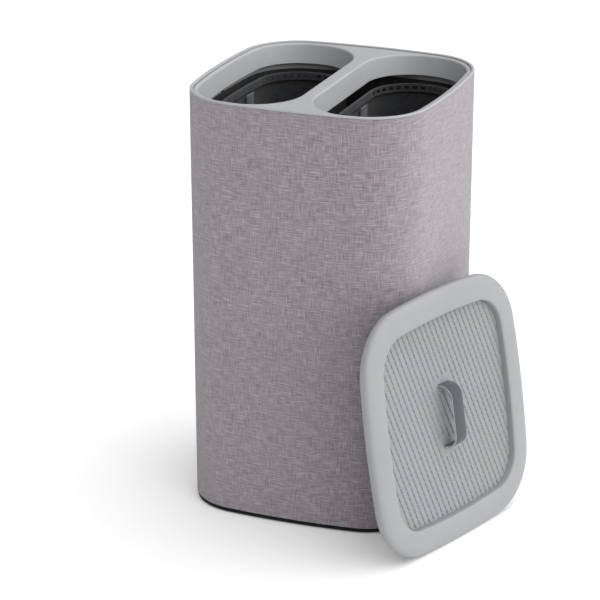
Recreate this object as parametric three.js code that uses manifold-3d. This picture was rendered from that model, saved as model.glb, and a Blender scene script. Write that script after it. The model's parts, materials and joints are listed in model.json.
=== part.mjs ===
// Laundry hamper with two lift-out bags and a loose lid, in millimetres, +Z up.
// The origin is on the floor under the middle of the hamper. The hamper stands open and
// its lid leans against the rounded front right corner.
import * as THREE from 'three';
import { mergeVertices } from 'three/addons/utils/BufferGeometryUtils.js';
import Module from 'manifold-3d';

const wasm = await Module();
wasm.setup();

// Hamper body
const RIM_HEIGHT = 600;          // floor to the top of the rim trim
const RIM_HALF = 175;            // half the width of the square plan at the rim
const CORNER_RADIUS = 84;
const SIDE_RADIUS = 960;         // the sides are shallow arcs
const FOOT_SCALE = 0.979;        // width at the floor over width at the rim
const PAD_HEIGHT = 2.7;
const PAD_RADIUS = 13;
const PAD_REACH = 124;           // corner pads, along X and along Y
const TRAY_BOTTOM = 3;
const TRAY_LEDGE = 6.7;
const TRAY_FLOOR = 6;
const TRAY_WALL_TOP = 45;
const WALL_BOTTOM = 7;
const WALL_TOP = 596.9;
const COVER_THICK = 1.2;
const SHELL_OUTER = 1.5;         // insets from the outline of the cover
const SHELL_INNER = 4.5;
const SKIRT_OUTER = 5.2;
const SKIRT_INNER = 7.4;
const SKIRT_BOTTOM = 560;
const TRIM_BOTTOM = 597.2;
const TRIM_INSET = 4.7;

// Top frame and its two openings
const FRAME_TOP = 598;
const FRAME_UNDER = 595.4;
const OPENING_MARGIN = 11;       // rim outline to the edge of an opening
const BRIDGE_HALF = 10;
const BRIDGE_CORNER = 70;
const COLLAR_BOTTOM = 570;
const COLLAR_SLOPE = 7;          // how far the collar leans in from top to bottom
const COLLAR_WALL = 2.5;

// Screws
const SCREW_SHANK = 1.7;
const SCREW_HOLE = 2.1;
const SCREW_HEAD = 3.6;
const HEAD_HEIGHT = 1.8;
const FRAME_SCREW_HEIGHT = 565;
const TRAY_SCREW_HEIGHT = 32;

// Bags, measured inwards from the edge of an opening
const BAG_INSET = 8.5;
const BAG_TAPER = 3;
const BAG_CLOTH = 2;
const BAG_BOTTOM = 6.3;
const BAG_TOP = 562;
const BOARD_THICK = 2.5;
const HOOP_INSET = 10.9;
const HOOP_WIDTH = 2.4;
const HOOP_BOTTOM = 551;
const HOOP_HEIGHT = 6;
const PATCH_INSET = 11.3;
const PATCH_THICK = 1.5;
const PATCH_BOTTOM = 480;
const PATCH_TOP = 545;
const PATCH_HALF = 72;
const HANDLE_HALF = 65;
const HANDLE_TOP = 546.2;
const HANDLE_BOTTOM = 425;
const HANDLE_STRAP = 25;
const HANDLE_THICK = 2.4;
const HANDLE_BEND = 34;

// Lid, built flat round its own origin: z = 0 is the face that sits on the rim
const LID_HALF = 176;
const LID_CORNER = 86;
const LID_SIDE = 1200;
const LID_WIDEST = 6;            // height of the widest line above the seat
const LID_PANEL_INSET = 37;
const LID_PANEL_BOTTOM = 4;
const LID_PANEL_TOP = 6;
const FLANGE_DEPTH = 14;
const FLANGE_GAP_HALF = 60;      // the flange stops short of the bridge
const STRAP_WIDTH = 25;
const STRAP_THICK = 2;
const STRAP_HALF = 43.5;         // centre of the lid to a slot
const STRAP_RISE = 22;
const STRAP_BEND = 17;
const STRAP_TAB = 16;
const PLATE_BOTTOM = -0.2;
const PLATE_THICK = 1.5;
const BUMPER_RADIUS = 2.5;
const BUMPER_HEIGHT = 0.6;

// How the lid leans
const LID_FOOT = new THREE.Vector3(236.3, -119.4, 0);
const LID_YAW = THREE.MathUtils.degToRad(-16.52);
const LID_LEAN = THREE.MathUtils.degToRad(8.84);

// Smoothness of the outlines
const SIDE_STEPS = 4;
const CORNER_STEPS = 8;
const BEND_STEPS = 6;

const GREY_PLASTIC = { color: 0xb4b7b9, roughness: 0.55, metalness: 0 };
const BLACK_PLASTIC = { color: 0x1b1b1d, roughness: 0.6, metalness: 0 };
const LINEN = { color: 0x8d8589, roughness: 0.95, metalness: 0 };
const BOARD = { color: 0x55504d, roughness: 0.85, metalness: 0 };
const CHARCOAL = { color: 0x333437, roughness: 0.95, metalness: 0 };
const WEBBING = { color: 0x6d7377, roughness: 0.9, metalness: 0 };
const RUBBER = { color: 0x141414, roughness: 0.9, metalness: 0 };
const STEEL = { color: 0xb9bbbd, roughness: 0.35, metalness: 1 };

const hamper = new THREE.Group();
const lid = new THREE.Group();

function place(parent, name, geometry, finish) {
  const mesh = new THREE.Mesh(geometry, new THREE.MeshStandardMaterial(finish));
  mesh.name = name;
  parent.add(mesh);
}

// ---- outlines, each a counter-clockwise list of points -------------------------------

function arc(x, y, radius, from, to, steps) {
  return Array.from({ length: steps }, (_, i) => {
    const angle = from + ((to - from) * i) / steps;
    return new THREE.Vector2(x + radius * Math.cos(angle), y + radius * Math.sin(angle));
  });
}

// A square with arched sides: where the side and corner arcs are centred and meet.
function squareArcs(half, corner, side) {
  const sideCentre = half - side;
  const rest = sideCentre ** 2 - (side - corner) ** 2;
  const cornerCentre = (2 * sideCentre + Math.sqrt(4 * sideCentre ** 2 - 8 * rest)) / 4;
  const meet = Math.atan2(cornerCentre, cornerCentre - sideCentre);
  return { sideCentre, cornerCentre, meet };
}

function archedSquare(half, corner, side) {
  const { sideCentre, cornerCentre, meet } = squareArcs(half, corner, side);
  const quarter = [
    ...arc(sideCentre, 0, side, -meet, meet, SIDE_STEPS),
    ...arc(cornerCentre, cornerCentre, corner, meet, Math.PI / 2 - meet, CORNER_STEPS),
  ];
  const middle = new THREE.Vector2();
  return [0, 1, 2, 3].flatMap((turn) =>
    quarter.map((point) => point.clone().rotateAround(middle, (turn * Math.PI) / 2)));
}

// Outline of the hamper's body at a height, moved inwards by an inset.
function bodyLoop(inset, z) {
  const scale = FOOT_SCALE + ((1 - FOOT_SCALE) * z) / RIM_HEIGHT;
  const outline = archedSquare(
    RIM_HALF * scale - inset, CORNER_RADIUS * scale - inset, SIDE_RADIUS * scale - inset);
  return outline.map((point) => new THREE.Vector3(point.x, point.y, z));
}

// Outline of one opening: the body's outline on three sides and the bridge on the fourth.
function openingLoop(side, inset, z) {
  const margin = OPENING_MARGIN + inset;
  const half = RIM_HALF - margin;
  const corner = CORNER_RADIUS - margin;
  const arch = SIDE_RADIUS - margin;
  const { sideCentre, cornerCentre, meet } = squareArcs(half, corner, arch);
  const bridge = BRIDGE_HALF + inset;
  const bend = BRIDGE_CORNER - inset;
  const bendX = bridge + bend;
  const bendY = sideCentre + Math.sqrt((arch - bend) ** 2 - bendX ** 2);
  const bendStart = Math.atan2(bendY - sideCentre, bendX);
  const back = [
    ...arc(sideCentre, 0, arch, 0, meet, SIDE_STEPS),
    ...arc(cornerCentre, cornerCentre, corner, meet, Math.PI / 2 - meet, CORNER_STEPS),
    ...arc(0, sideCentre, arch, Math.PI / 2 - meet, bendStart, 1),
    ...arc(bendX, bendY, bend, bendStart, Math.PI, CORNER_STEPS),
    new THREE.Vector2(bridge, bendY),
  ];
  const front = back.slice(1).reverse().map((point) => new THREE.Vector2(point.x, -point.y));
  const right = [...back, ...front];
  const outline = side > 0
    ? right
    : right.map((point) => new THREE.Vector2(-point.x, point.y)).reverse();
  return outline.map((point) => new THREE.Vector3(point.x, point.y, z));
}

function lidLoop(inset, z) {
  const outline = archedSquare(LID_HALF - inset, LID_CORNER - inset, LID_SIDE - inset);
  return outline.map((point) => new THREE.Vector3(point.x, point.y, z));
}

// ---- solids --------------------------------------------------------------------------

function signedVolume(points, faces) {
  const [a, b, c] = [new THREE.Vector3(), new THREE.Vector3(), new THREE.Vector3()];
  let volume = 0;
  for (let i = 0; i < faces.length; i += 3) {
    a.copy(points[faces[i]]);
    b.copy(points[faces[i + 1]]);
    c.copy(points[faces[i + 2]]);
    volume += a.dot(b.cross(c));
  }
  return volume;
}

function solid(points, faces) {
  if (signedVolume(points, faces) < 0) faces.reverse();
  const geometry = new THREE.BufferGeometry().setFromPoints(points);
  geometry.setIndex(faces);
  geometry.computeVertexNormals();
  return geometry;
}

function bandFaces(count, from, to) {
  const faces = [];
  for (let i = 0; i < count; i += 1) {
    const j = (i + 1) % count;
    faces.push(from + i, from + j, to + i, from + j, to + j, to + i);
  }
  return faces;
}

// A solid with a cap on its first and last loop.
function capped(loops) {
  const count = loops[0].length;
  const points = loops.flat();
  const faces = [];
  for (let k = 0; k + 1 < loops.length; k += 1) {
    faces.push(...bandFaces(count, k * count, (k + 1) * count));
  }
  const lastLoop = (loops.length - 1) * count;
  const outline = (loop) => loop.map((point) => new THREE.Vector2(point.x, point.y));
  for (const [a, b, c] of THREE.ShapeUtils.triangulateShape(outline(loops[0]), [])) {
    faces.push(a, c, b);
  }
  for (const [a, b, c] of THREE.ShapeUtils.triangulateShape(outline(loops.at(-1)), [])) {
    faces.push(lastLoop + a, lastLoop + b, lastLoop + c);
  }
  return solid(points, faces);
}

// A closed ring whose section is the list of loops.
function ring(loops) {
  const count = loops[0].length;
  const faces = loops.flatMap((_, k) =>
    bandFaces(count, k * count, ((k + 1) % loops.length) * count));
  return solid(loops.flat(), faces);
}

function ringOf(loopAt, section) {
  return ring(section.map(([inset, z]) => loopAt(inset, z)));
}

function cappedOf(loopAt, section) {
  return capped(section.map(([inset, z]) => loopAt(inset, z)));
}

function toManifold(geometry) {
  const bare = geometry.clone();
  bare.deleteAttribute('normal');
  bare.deleteAttribute('uv');
  const merged = mergeVertices(bare, 1e-5);
  return new wasm.Manifold(new wasm.Mesh({
    numProp: 3,
    vertProperties: Float32Array.from(merged.attributes.position.array),
    triVerts: Uint32Array.from(merged.index.array),
  }));
}

function fromManifold(body) {
  const mesh = body.getMesh();
  const geometry = new THREE.BufferGeometry();
  geometry.setAttribute('position', new THREE.BufferAttribute(mesh.vertProperties, 3));
  geometry.setIndex(new THREE.BufferAttribute(mesh.triVerts, 1));
  geometry.computeVertexNormals();
  return geometry;
}

const join = (first, ...others) => fromManifold(
  others.reduce((body, other) => body.add(toManifold(other)), toManifold(first)));
const cut = (first, ...others) => fromManifold(
  others.reduce((body, other) => body.subtract(toManifold(other)), toManifold(first)));
const overlap = (first, other) => fromManifold(toManifold(first).intersect(toManifold(other)));

function block(xs, ys, zs) {
  const box = new THREE.BoxGeometry(xs[1] - xs[0], ys[1] - ys[0], zs[1] - zs[0]);
  return box.translate((xs[0] + xs[1]) / 2, (ys[0] + ys[1]) / 2, (zs[0] + zs[1]) / 2);
}

function disc(radius, bottom, top, x = 0, y = 0) {
  const cylinder = new THREE.CylinderGeometry(radius, radius, top - bottom, 24);
  return cylinder.rotateX(Math.PI / 2).translate(x, y, (bottom + top) / 2);
}

// A rod from one distance to another along a level direction.
function levelRod(radius, from, to, angle, z) {
  const rod = new THREE.CylinderGeometry(radius, radius, to - from, 12);
  return rod.rotateZ(-Math.PI / 2).translate((from + to) / 2, 0, 0)
    .rotateZ(angle).translate(0, 0, z);
}

// ---- hamper --------------------------------------------------------------------------

const SIDES = [['right', 0], ['back', Math.PI / 2], ['left', Math.PI], ['front', -Math.PI / 2]];

function bodyHalf(z) {
  return RIM_HALF * (FOOT_SCALE + ((1 - FOOT_SCALE) * z) / RIM_HEIGHT);
}

const screwHoles = (z) => SIDES.map(([, angle]) => {
  const half = bodyHalf(z);
  return levelRod(SCREW_HOLE, half - 20, half - SHELL_OUTER + 1, angle, z);
});

function addPads() {
  const pad = (x, y) => disc(PAD_RADIUS, 0, PAD_HEIGHT, x, y);
  place(hamper, 'foot_pad_centre', pad(0, 0), RUBBER);
  for (const [front, sy] of [['front', -1], ['back', 1]]) {
    for (const [side, sx] of [['left', -1], ['right', 1]]) {
      place(hamper, `foot_pad_${front}_${side}`, pad(sx * PAD_REACH, sy * PAD_REACH), RUBBER);
    }
  }
}

function addBody() {
  const tray = cappedOf(bodyLoop, [
    [2.4, TRAY_BOTTOM], [SHELL_OUTER, TRAY_BOTTOM + 1], [SHELL_OUTER, TRAY_LEDGE],
    [SKIRT_OUTER, TRAY_LEDGE], [SKIRT_OUTER, TRAY_WALL_TOP], [SKIRT_INNER, TRAY_WALL_TOP],
    [SKIRT_INNER, TRAY_FLOOR],
  ]);
  place(hamper, 'base_tray', cut(tray, ...screwHoles(TRAY_SCREW_HEIGHT)), BLACK_PLASTIC);

  const shell = ringOf(bodyLoop, [
    [SHELL_OUTER, WALL_BOTTOM], [SHELL_OUTER, WALL_TOP],
    [SHELL_INNER, WALL_TOP], [SHELL_INNER, WALL_BOTTOM],
  ]);
  const holes = [...screwHoles(TRAY_SCREW_HEIGHT), ...screwHoles(FRAME_SCREW_HEIGHT)];
  place(hamper, 'wall_shell', cut(shell, ...holes), BOARD);

  place(hamper, 'fabric_cover', ringOf(bodyLoop, [
    [0, WALL_BOTTOM], [0, WALL_TOP], [COVER_THICK, WALL_TOP], [COVER_THICK, WALL_BOTTOM],
  ]), LINEN);

  place(hamper, 'rim_trim', ringOf(bodyLoop, [
    [0, TRIM_BOTTOM], [0, RIM_HEIGHT - 0.9], [0.9, RIM_HEIGHT],
    [TRIM_INSET - 0.9, RIM_HEIGHT], [TRIM_INSET, RIM_HEIGHT - 0.9], [TRIM_INSET, TRIM_BOTTOM],
  ]), GREY_PLASTIC);
}

function addTopFrame() {
  const plate = cappedOf(bodyLoop, [
    [SKIRT_OUTER, FRAME_UNDER], [SKIRT_OUTER, FRAME_TOP - 1.6], [SKIRT_OUTER + 1.4, FRAME_TOP],
  ]);
  const skirt = ringOf(bodyLoop, [
    [SKIRT_OUTER, SKIRT_BOTTOM], [SKIRT_OUTER, FRAME_UNDER + 1],
    [SKIRT_INNER, FRAME_UNDER + 1], [SKIRT_INNER, SKIRT_BOTTOM],
  ]);
  const collars = [-1, 1].map((side) => capped([
    openingLoop(side, COLLAR_SLOPE - COLLAR_WALL, COLLAR_BOTTOM),
    openingLoop(side, -COLLAR_WALL, FRAME_UNDER),
    openingLoop(side, -COLLAR_WALL, FRAME_UNDER + 1),
  ]));
  const openings = [-1, 1].map((side) => capped([
    openingLoop(side, COLLAR_SLOPE, COLLAR_BOTTOM - 1),
    openingLoop(side, COLLAR_SLOPE, COLLAR_BOTTOM),
    openingLoop(side, 0.3, FRAME_TOP - 4),
    openingLoop(side, -0.7, FRAME_TOP - 1.6),
    openingLoop(side, -2.6, FRAME_TOP - 0.2),
    openingLoop(side, -3.6, FRAME_TOP + 0.3),
  ]));
  const frame = cut(join(plate, skirt, ...collars), ...openings, ...screwHoles(FRAME_SCREW_HEIGHT));
  place(hamper, 'top_frame', frame, GREY_PLASTIC);
}

function addScrews(prefix, z) {
  const half = bodyHalf(z);
  const shoulder = half - SKIRT_INNER - 0.5;
  for (const [side, angle] of SIDES) {
    const shank = levelRod(SCREW_SHANK, shoulder - 0.5, half - SHELL_OUTER - 0.5, angle, z);
    const head = levelRod(SCREW_HEAD, shoulder - HEAD_HEIGHT, shoulder, angle, z);
    place(hamper, `${prefix}_screw_${side}`, join(head, shank), STEEL);
  }
}

// ---- bags ----------------------------------------------------------------------------

// A flat strap bent into a U that hangs with its open end up.
function handleStrap(x) {
  const outline = new THREE.Shape();
  const inner = HANDLE_HALF - HANDLE_STRAP;
  const innerBend = HANDLE_BEND - HANDLE_STRAP;
  const low = HANDLE_BOTTOM;
  outline.moveTo(-HANDLE_HALF, HANDLE_TOP);
  outline.lineTo(-HANDLE_HALF, low + HANDLE_BEND);
  outline.absarc(-HANDLE_HALF + HANDLE_BEND, low + HANDLE_BEND, HANDLE_BEND,
    Math.PI, 1.5 * Math.PI, false);
  outline.absarc(HANDLE_HALF - HANDLE_BEND, low + HANDLE_BEND, HANDLE_BEND,
    1.5 * Math.PI, 2 * Math.PI, false);
  outline.lineTo(HANDLE_HALF, HANDLE_TOP);
  outline.lineTo(inner, HANDLE_TOP);
  outline.absarc(inner - innerBend, low + HANDLE_STRAP + innerBend, innerBend,
    0, -Math.PI / 2, true);
  outline.absarc(-inner + innerBend, low + HANDLE_STRAP + innerBend, innerBend,
    -Math.PI / 2, -Math.PI, true);
  outline.lineTo(-inner, HANDLE_TOP);
  const strap = new THREE.ExtrudeGeometry(outline, {
    depth: HANDLE_THICK, bevelEnabled: false, curveSegments: BEND_STEPS,
  });
  return strap.rotateX(Math.PI / 2).rotateZ(Math.PI / 2).translate(x - HANDLE_THICK / 2, 0, 0);
}

function addBag(name, side) {
  const loopAt = (inset, z) => openingLoop(side, inset, z);
  const foot = BAG_INSET + BAG_TAPER;
  place(hamper, `${name}_bag_shell`, cappedOf(loopAt, [
    [foot + 2, BAG_BOTTOM], [foot, BAG_BOTTOM + 2], [BAG_INSET, BAG_TOP],
    [BAG_INSET + BAG_CLOTH, BAG_TOP], [foot + BAG_CLOTH, BAG_BOTTOM + BAG_CLOTH + 1],
    [foot + BAG_CLOTH + 1, BAG_BOTTOM + BAG_CLOTH],
  ]), CHARCOAL);

  const boardBottom = BAG_BOTTOM + BAG_CLOTH + 0.3;
  place(hamper, `${name}_bag_base_board`, cappedOf(loopAt, [
    [foot + BAG_CLOTH + 2, boardBottom], [foot + BAG_CLOTH + 2, boardBottom + BOARD_THICK],
  ]), CHARCOAL);

  const [hoopOut, hoopIn] = [HOOP_INSET, HOOP_INSET + HOOP_WIDTH];
  const hoopTop = HOOP_BOTTOM + HOOP_HEIGHT;
  place(hamper, `${name}_bag_hoop`, ringOf(loopAt, [
    [hoopOut, HOOP_BOTTOM + 1], [hoopOut, hoopTop - 1], [hoopOut + 0.8, hoopTop],
    [hoopIn - 0.8, hoopTop], [hoopIn, hoopTop - 1], [hoopIn, HOOP_BOTTOM + 1],
    [hoopIn - 0.8, HOOP_BOTTOM], [hoopOut + 0.8, HOOP_BOTTOM],
  ]), BLACK_PLASTIC);

  // The patches line the bag's two long walls, below the hoop, and the handles hang on them.
  const patchRing = ringOf(loopAt, [
    [PATCH_INSET, PATCH_BOTTOM], [PATCH_INSET, PATCH_TOP],
    [PATCH_INSET + PATCH_THICK, PATCH_TOP], [PATCH_INSET + PATCH_THICK, PATCH_BOTTOM],
  ]);
  const zs = [PATCH_BOTTOM - 1, PATCH_TOP + 1];
  const walls = {
    inner: { xs: [0, 60], handle: BRIDGE_HALF + HOOP_INSET + HOOP_WIDTH + 1.7 },
    outer: { xs: [110, 200], handle: RIM_HALF - OPENING_MARGIN - HOOP_INSET - HOOP_WIDTH - 4.3 },
  };
  for (const [wall, { xs, handle }] of Object.entries(walls)) {
    const span = xs.map((x) => side * x).sort((a, b) => a - b);
    const patch = overlap(patchRing, block(span, [-PATCH_HALF, PATCH_HALF], zs));
    place(hamper, `${name}_bag_patch_${wall}`, patch, CHARCOAL);
    place(hamper, `${name}_bag_handle_${wall}`, handleStrap(side * handle), WEBBING);
  }
}

// ---- lid -----------------------------------------------------------------------------

function addLidFrame() {
  const frame = ringOf(lidLoop, [
    // seat and rounded outer edge
    [5.4, 0], [2.4, 0], [1.0, 0.7], [0.2, 2.6], [0, LID_WIDEST], [0.7, 9.0], [2.8, 11.6],
    // crowned top, down into the recess
    [7.5, 13.6], [15, 14.8], [25, 15.3], [32.6, 15.1], [35.2, 14.3], [36.2, 12.6],
    [36.6, LID_PANEL_BOTTOM - 0.3],
    // ledge under the panel
    [44, LID_PANEL_BOTTOM - 0.3], [44, 1.7], [34.1, 1.7],
    // underside with the locating flange
    [33.6, 11.6], [32, 12.6], [28.6, 12.8], [28.5, -FLANGE_DEPTH], [26, -FLANGE_DEPTH],
    [25.9, 12.7], [16, 12.3], [9, 11.2], [5, 9.6], [3.2, 7.8], [2.6, LID_WIDEST], [3.2, 3],
  ]);
  const gap = [-FLANGE_GAP_HALF, FLANGE_GAP_HALF];
  const below = [-FLANGE_DEPTH - 1, -0.3];
  place(lid, 'lid_frame', cut(frame,
    block([LID_HALF - 36, LID_HALF - 16], gap, below),
    block([16 - LID_HALF, 36 - LID_HALF], gap, below)), GREY_PLASTIC);
}

function addLidPanel() {
  const panel = cappedOf(lidLoop, [
    [LID_PANEL_INSET, LID_PANEL_BOTTOM], [LID_PANEL_INSET, LID_PANEL_TOP],
  ]);
  const half = STRAP_WIDTH / 2 + 0.8;
  const slots = [-1, 1].map((end) => {
    const [near, far] = [STRAP_HALF - STRAP_THICK / 2 - 0.8, STRAP_HALF + STRAP_THICK / 2 + 0.8];
    const ys = end > 0 ? [near, far] : [-far, -near];
    return block([-half, half], ys, [0, 10]);
  });
  place(lid, 'lid_panel', cut(panel, ...slots), GREY_PLASTIC);
}

// The strap is a loop that stands on the panel; its ends turn in under it.
function addStrap() {
  const tabMiddle = LID_PANEL_BOTTOM - 0.3 - STRAP_THICK / 2;
  const top = LID_PANEL_TOP + STRAP_RISE - STRAP_THICK / 2;
  const line = new THREE.Path();
  line.moveTo(STRAP_HALF - STRAP_TAB, tabMiddle);
  line.lineTo(STRAP_HALF - 1.5, tabMiddle);
  line.absarc(STRAP_HALF - 1.5, tabMiddle + 1.5, 1.5, -Math.PI / 2, 0, false);
  line.lineTo(STRAP_HALF, top - STRAP_BEND);
  line.absarc(STRAP_HALF - STRAP_BEND, top - STRAP_BEND, STRAP_BEND, 0, Math.PI / 2, false);
  line.lineTo(0, top);
  const right = line.getPoints(BEND_STEPS).filter((point, i, all) =>
    i === 0 || point.distanceTo(all[i - 1]) > 1e-6);
  const left = right.slice(0, -1).reverse().map((point) => new THREE.Vector2(-point.x, point.y));
  const middle = [...right, ...left];
  const offset = (amount) => middle.map((point, i) => {
    const before = middle[Math.max(i - 1, 0)];
    const after = middle[Math.min(i + 1, middle.length - 1)];
    const along = after.clone().sub(before).normalize();
    return new THREE.Vector2(point.x - along.y * amount, point.y + along.x * amount);
  });
  const half = STRAP_THICK / 2;
  const section = new THREE.Shape([...offset(-half), ...offset(half).reverse()]);
  const strap = new THREE.ExtrudeGeometry(section, { depth: STRAP_WIDTH, bevelEnabled: false });
  strap.rotateX(Math.PI / 2).rotateZ(Math.PI / 2).translate(-STRAP_WIDTH / 2, 0, 0);
  place(lid, 'lid_strap', strap, WEBBING);
}

function addStrapPlate() {
  const zs = [PLATE_BOTTOM, PLATE_BOTTOM + PLATE_THICK];
  const plate = block([-STRAP_WIDTH, STRAP_WIDTH], [-STRAP_HALF - 14, STRAP_HALF + 14], zs);
  const seat = disc(BUMPER_RADIUS + 0.5, PLATE_BOTTOM - 1, PLATE_BOTTOM + PLATE_THICK + 1);
  place(lid, 'lid_strap_plate', cut(plate, seat), GREY_PLASTIC);
  const ball = new THREE.IcosahedronGeometry(BUMPER_RADIUS, 2);
  place(lid, 'lid_bumper', ball.translate(0, 0, BUMPER_HEIGHT), RUBBER);
}

function leanLid() {
  const out = new THREE.Vector3(Math.cos(LID_YAW), Math.sin(LID_YAW), 0);
  const across = new THREE.Vector3(-Math.sin(LID_YAW), Math.cos(LID_YAW), 0);
  const up = new THREE.Vector3(0, 0, Math.cos(LID_LEAN)).addScaledVector(out, -Math.sin(LID_LEAN));
  const face = across.clone().cross(up);
  const seat = LID_FOOT.clone().addScaledVector(up, LID_HALF).addScaledVector(face, -LID_WIDEST);
  const pose = new THREE.Matrix4().makeBasis(across, up, face).setPosition(seat);
  lid.applyMatrix4(pose);
}

addPads();
addBody();
addTopFrame();
addScrews('frame', FRAME_SCREW_HEIGHT);
addScrews('tray', TRAY_SCREW_HEIGHT);
addBag('left', -1);
addBag('right', 1);
addLidFrame();
addLidPanel();
addStrap();
addStrapPlate();
leanLid();
hamper.add(lid);

export default hamper;
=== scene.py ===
"""Laundry hamper with two lift-out bags and a lid that leans against its corner.

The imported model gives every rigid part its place. The classes below build the surfaces that
are seen (cloth cover, moulded top frame, bags with their handles, lid) and dress all of them.
"""

import json
import logging
import math
from collections.abc import Callable, Sequence
from dataclasses import dataclass
from enum import Enum

import bpy
import numpy as np
from mathutils import Matrix, Vector, noise

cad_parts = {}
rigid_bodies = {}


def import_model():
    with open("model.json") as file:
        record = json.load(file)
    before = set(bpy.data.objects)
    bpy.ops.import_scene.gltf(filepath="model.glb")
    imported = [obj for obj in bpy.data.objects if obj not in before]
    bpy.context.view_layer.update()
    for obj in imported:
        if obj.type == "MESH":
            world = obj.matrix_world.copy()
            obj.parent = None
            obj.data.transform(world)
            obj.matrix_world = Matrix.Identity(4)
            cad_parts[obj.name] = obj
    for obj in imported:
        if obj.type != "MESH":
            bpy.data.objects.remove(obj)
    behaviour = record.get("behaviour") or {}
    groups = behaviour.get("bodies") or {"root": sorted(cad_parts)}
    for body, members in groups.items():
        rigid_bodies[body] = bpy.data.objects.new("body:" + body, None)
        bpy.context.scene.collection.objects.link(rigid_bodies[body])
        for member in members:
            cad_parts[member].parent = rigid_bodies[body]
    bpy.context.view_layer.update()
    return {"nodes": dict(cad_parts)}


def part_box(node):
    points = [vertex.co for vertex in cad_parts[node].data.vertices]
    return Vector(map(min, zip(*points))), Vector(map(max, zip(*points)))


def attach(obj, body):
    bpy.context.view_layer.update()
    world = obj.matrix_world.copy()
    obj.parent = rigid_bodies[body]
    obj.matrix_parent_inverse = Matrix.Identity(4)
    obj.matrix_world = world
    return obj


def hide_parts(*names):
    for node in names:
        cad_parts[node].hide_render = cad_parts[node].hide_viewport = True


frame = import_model()
log = logging.getLogger("hamper")

Point = tuple[float, float]
Colour = tuple[float, float, float]
MM = 0.001
X_AXIS, Z_AXIS = Vector((1, 0, 0)), Vector((0, 0, 1))
SAME_PLACE = 0.02 * MM
SAME_LEVEL = 0.01 * MM


class Slot(Enum):
    """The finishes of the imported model."""

    LINEN = "linen_cover"
    GREY = "grey_plastic"
    MESH = "mesh_plastic"
    BLACK = "black_plastic"
    BOARD = "board"
    CHARCOAL = "charcoal_cloth"
    WEBBING = "webbing"
    RUBBER = "rubber"
    STEEL = "screw_steel"


class Side(Enum):
    """The two bags, by the sign of X."""

    LEFT = -1
    RIGHT = 1


# ---- operators, as they are used by hand ----------------------------------------------


def clear_selection() -> None:
    """Leave nothing selected and nothing in edit mode."""
    if bpy.context.object and bpy.context.object.mode != "OBJECT":
        bpy.ops.object.mode_set(mode="OBJECT")
    bpy.ops.object.select_all(action="DESELECT")


def focus(piece: bpy.types.Object) -> None:
    """Make one piece the only selected one, and the active one.

    Args:
        piece: The object.
    """
    clear_selection()
    piece.select_set(True)
    bpy.context.view_layer.objects.active = piece


def start_mesh(name: str) -> bpy.types.Object:
    """Add a new piece and leave it in edit mode with its mesh empty.

    Args:
        name: The piece's name.

    Returns:
        The new object, at the origin.
    """
    clear_selection()
    bpy.ops.mesh.primitive_plane_add(size=MM)
    piece = bpy.context.object
    piece.name = name
    piece.data.name = name
    bpy.ops.object.mode_set(mode="EDIT")
    bpy.ops.mesh.select_all(action="SELECT")
    bpy.ops.mesh.delete(type="VERT")
    return piece


def extrude_by(shift: Vector) -> None:
    """Extrude what is selected and move it."""
    bpy.ops.mesh.extrude_region_move(TRANSFORM_OT_translate={"value": tuple(shift)})


def select_where(piece: bpy.types.Object, test: Callable[[Vector], bool], faces: bool = False) -> None:
    """Select the vertices, or the faces, whose place passes a test.

    Args:
        piece: The object in edit mode.
        test: Takes a place in metres and says if it is wanted.
        faces: True to test the faces by their middles.
    """
    bpy.ops.mesh.select_mode(type="FACE" if faces else "VERT")
    bpy.ops.mesh.select_all(action="DESELECT")
    bpy.ops.object.mode_set(mode="OBJECT")
    elements = piece.data.polygons if faces else piece.data.vertices
    wanted = [bool(test(element.center if faces else element.co)) for element in elements]
    elements.foreach_set("select", wanted)
    bpy.ops.object.mode_set(mode="EDIT")


def select_open(piece: bpy.types.Object, level: float, test: Callable[[Vector], bool] | None = None) -> None:
    """Select the open edges at a height.

    Args:
        piece: The object in edit mode.
        level: The height in metres.
        test: Takes a place and says if edges that end there are wanted; None takes them all.
    """
    bpy.ops.mesh.select_all(action="DESELECT")
    bpy.ops.mesh.select_mode(type="EDGE")
    bpy.ops.mesh.select_non_manifold(use_wire=True, use_boundary=True, use_multi_face=False,
                                     use_non_contiguous=False, use_verts=False)
    bpy.ops.object.mode_set(mode="OBJECT")
    vertices = piece.data.vertices
    for edge in piece.data.edges:
        ends = [vertices[i].co for i in edge.vertices]
        edge.select = (edge.select and all(abs(end.z - level) < SAME_LEVEL for end in ends)
                       and (test is None or all(test(end) for end in ends)))
    bpy.ops.object.mode_set(mode="EDIT")


def fill_level(piece: bpy.types.Object, level: float, test: Callable[[Vector], bool] | None = None) -> None:
    """Fill between open edges at a height; the arguments are those of select_open."""
    select_open(piece, level, test)
    bpy.ops.mesh.fill(use_beauty=True)


def apply_modifier(piece: bpy.types.Object, kind: str, **settings: object) -> None:
    """Add a modifier, set it and apply it.

    Args:
        piece: The object to change.
        kind: The modifier's type.
        **settings: The modifier's own settings.
    """
    focus(piece)
    modifier = piece.modifiers.new(kind.title(), kind)
    for key, value in settings.items():
        setattr(modifier, key, value)
    bpy.ops.object.modifier_apply(modifier=modifier.name)


def finish_mesh(piece: bpy.types.Object, smooth_angle: float = 35) -> None:
    """Merge doubles, turn the faces outwards, leave edit mode and shade smooth.

    Args:
        piece: The object in edit mode.
        smooth_angle: Edges flatter than this many degrees are shaded smooth.
    """
    bpy.ops.mesh.select_all(action="SELECT")
    bpy.ops.mesh.remove_doubles(threshold=SAME_PLACE)
    bpy.ops.mesh.normals_make_consistent(inside=False)
    bpy.ops.mesh.select_all(action="DESELECT")
    bpy.ops.object.mode_set(mode="OBJECT")
    shade(piece, smooth_angle)


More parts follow.
